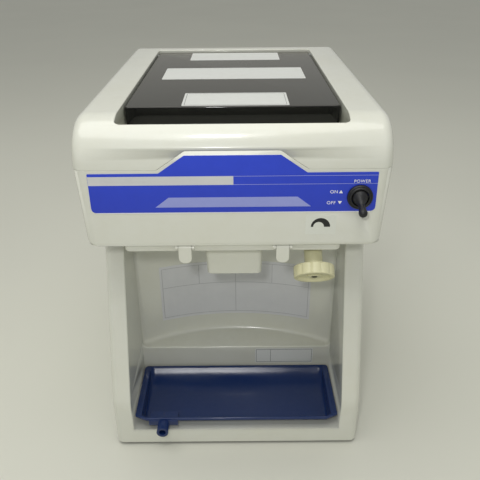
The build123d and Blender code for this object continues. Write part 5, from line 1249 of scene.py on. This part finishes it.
class SLICER_OT_stage(Operator):
    """Set the camera, lamps, room and floor"""

    bl_idname = "slicer.stage"
    bl_label = "Stage"

    def execute(self, context):
        stage = context.scene.slicer_stage
        lens = bpy.data.cameras.new("Camera")
        lens.lens = stage.focal
        lens.sensor_width = 36.0
        lens.sensor_fit = "HORIZONTAL"
        lens.clip_start = 0.01
        camera = bpy.data.objects.new("Camera", lens)
        context.scene.collection.objects.link(camera)
        camera.location = stage.place
        tip = Euler((math.pi / 2 - stage.tip, 0.0, 0.0)).to_quaternion()
        camera.rotation_mode = "QUATERNION"
        camera.rotation_quaternion = tip @ Quaternion((0, 0, 1), -stage.roll)
        context.scene.camera = camera
        context.scene.view_settings.view_transform = "Standard"
        self.lamp("ceiling_lamp", stage.ceiling, 1.6, (-0.25, -0.25, 2.0), (0.0, 0.0, 0.2), "#fffef8")
        self.lamp("strip_lamp", stage.strip, 0.3, (-0.1, -1.1, 2.2), (0.0, -0.1, 0.3), "#ffffff")
        self.lamp("flash_lamp", stage.flash, 0.05, (-0.05, -0.76, 0.66), (0.0, 0.0, 0.2), "#ffffff")
        world = bpy.data.worlds.new("Room")
        context.scene.world = world
        world.use_nodes = True
        background = world.node_tree.nodes["Background"]
        background.inputs["Color"].default_value = rgba(linear("#f3f4f0"))
        background.inputs["Strength"].default_value = stage.sky
        self.floor(stage)
        return {"FINISHED"}

    @staticmethod
    def lamp(name, power, size, place, target, code):
        light = bpy.data.lights.new(name, "AREA")
        light.energy = power
        light.size = size
        light.color = linear(code)
        lamp = bpy.data.objects.new(name, light)
        bpy.context.scene.collection.objects.link(lamp)
        lamp.location = place
        lamp.rotation_euler = (Vector(place) - Vector(target)).to_track_quat("Z", "Y").to_euler()

    @staticmethod
    def floor(stage):
        form = bmesh.new()
        bmesh.ops.create_grid(form, x_segments=8, y_segments=8, size=9.0)
        floor = from_form("floor", form)
        finish = Finish("floor_paint", {}, Roughness=0.6)
        broad = finish.wires.ramp(finish.wires.noise(finish.place, 1.5, 2.0), 0.3, 0.7)
        shade = rgba([c * 0.97 for c in stage.floor])
        finish.feed("Base Color", finish.wires.mix(broad, rgba(stage.floor), shade))
        floor.data.materials.append(finish.material)


OPERATORS = (
    SLICER_OT_stage, SLICER_OT_finishes, SLICER_OT_housing, SLICER_OT_lid, SLICER_OT_panel, SLICER_OT_switch,
    SLICER_OT_knob, SLICER_OT_chute, SLICER_OT_tray, SLICER_OT_labels, SLICER_OT_louvres, SLICER_OT_screws,
)
SETTINGS = {
    "slicer_finish": SlicerFinishSettings, "slicer_detail": SlicerDetailSettings, "slicer_stage": SlicerStageSettings,
}


class SLICER_PT_panel(Panel):
    """Lists the settings and the operators that build the ice slicer"""

    bl_idname = "SLICER_PT_panel"
    bl_label = "Ice Slicer"
    bl_space_type = "VIEW_3D"
    bl_region_type = "UI"
    bl_category = "Ice Slicer"

    def draw(self, context):
        for operator in OPERATORS:
            self.layout.operator(operator.bl_idname)
        for group in SETTINGS:
            box = self.layout.box()
            for key in getattr(context.scene, group).__annotations__:
                box.prop(getattr(context.scene, group), key)


def register():
    for kind in (*SETTINGS.values(), *OPERATORS, SLICER_PT_panel):
        bpy.utils.register_class(kind)
    for name, kind in SETTINGS.items():
        setattr(bpy.types.Scene, name, PointerProperty(type=kind))


def unregister():
    for name in SETTINGS:
        delattr(bpy.types.Scene, name)
    for kind in reversed((*SETTINGS.values(), *OPERATORS, SLICER_PT_panel)):
        bpy.utils.unregister_class(kind)


def main():
    register()
    for operator in OPERATORS:
        group, name = operator.bl_idname.split(".")
        getattr(getattr(bpy.ops, group), name)()


if __name__ == "__main__":
    main()
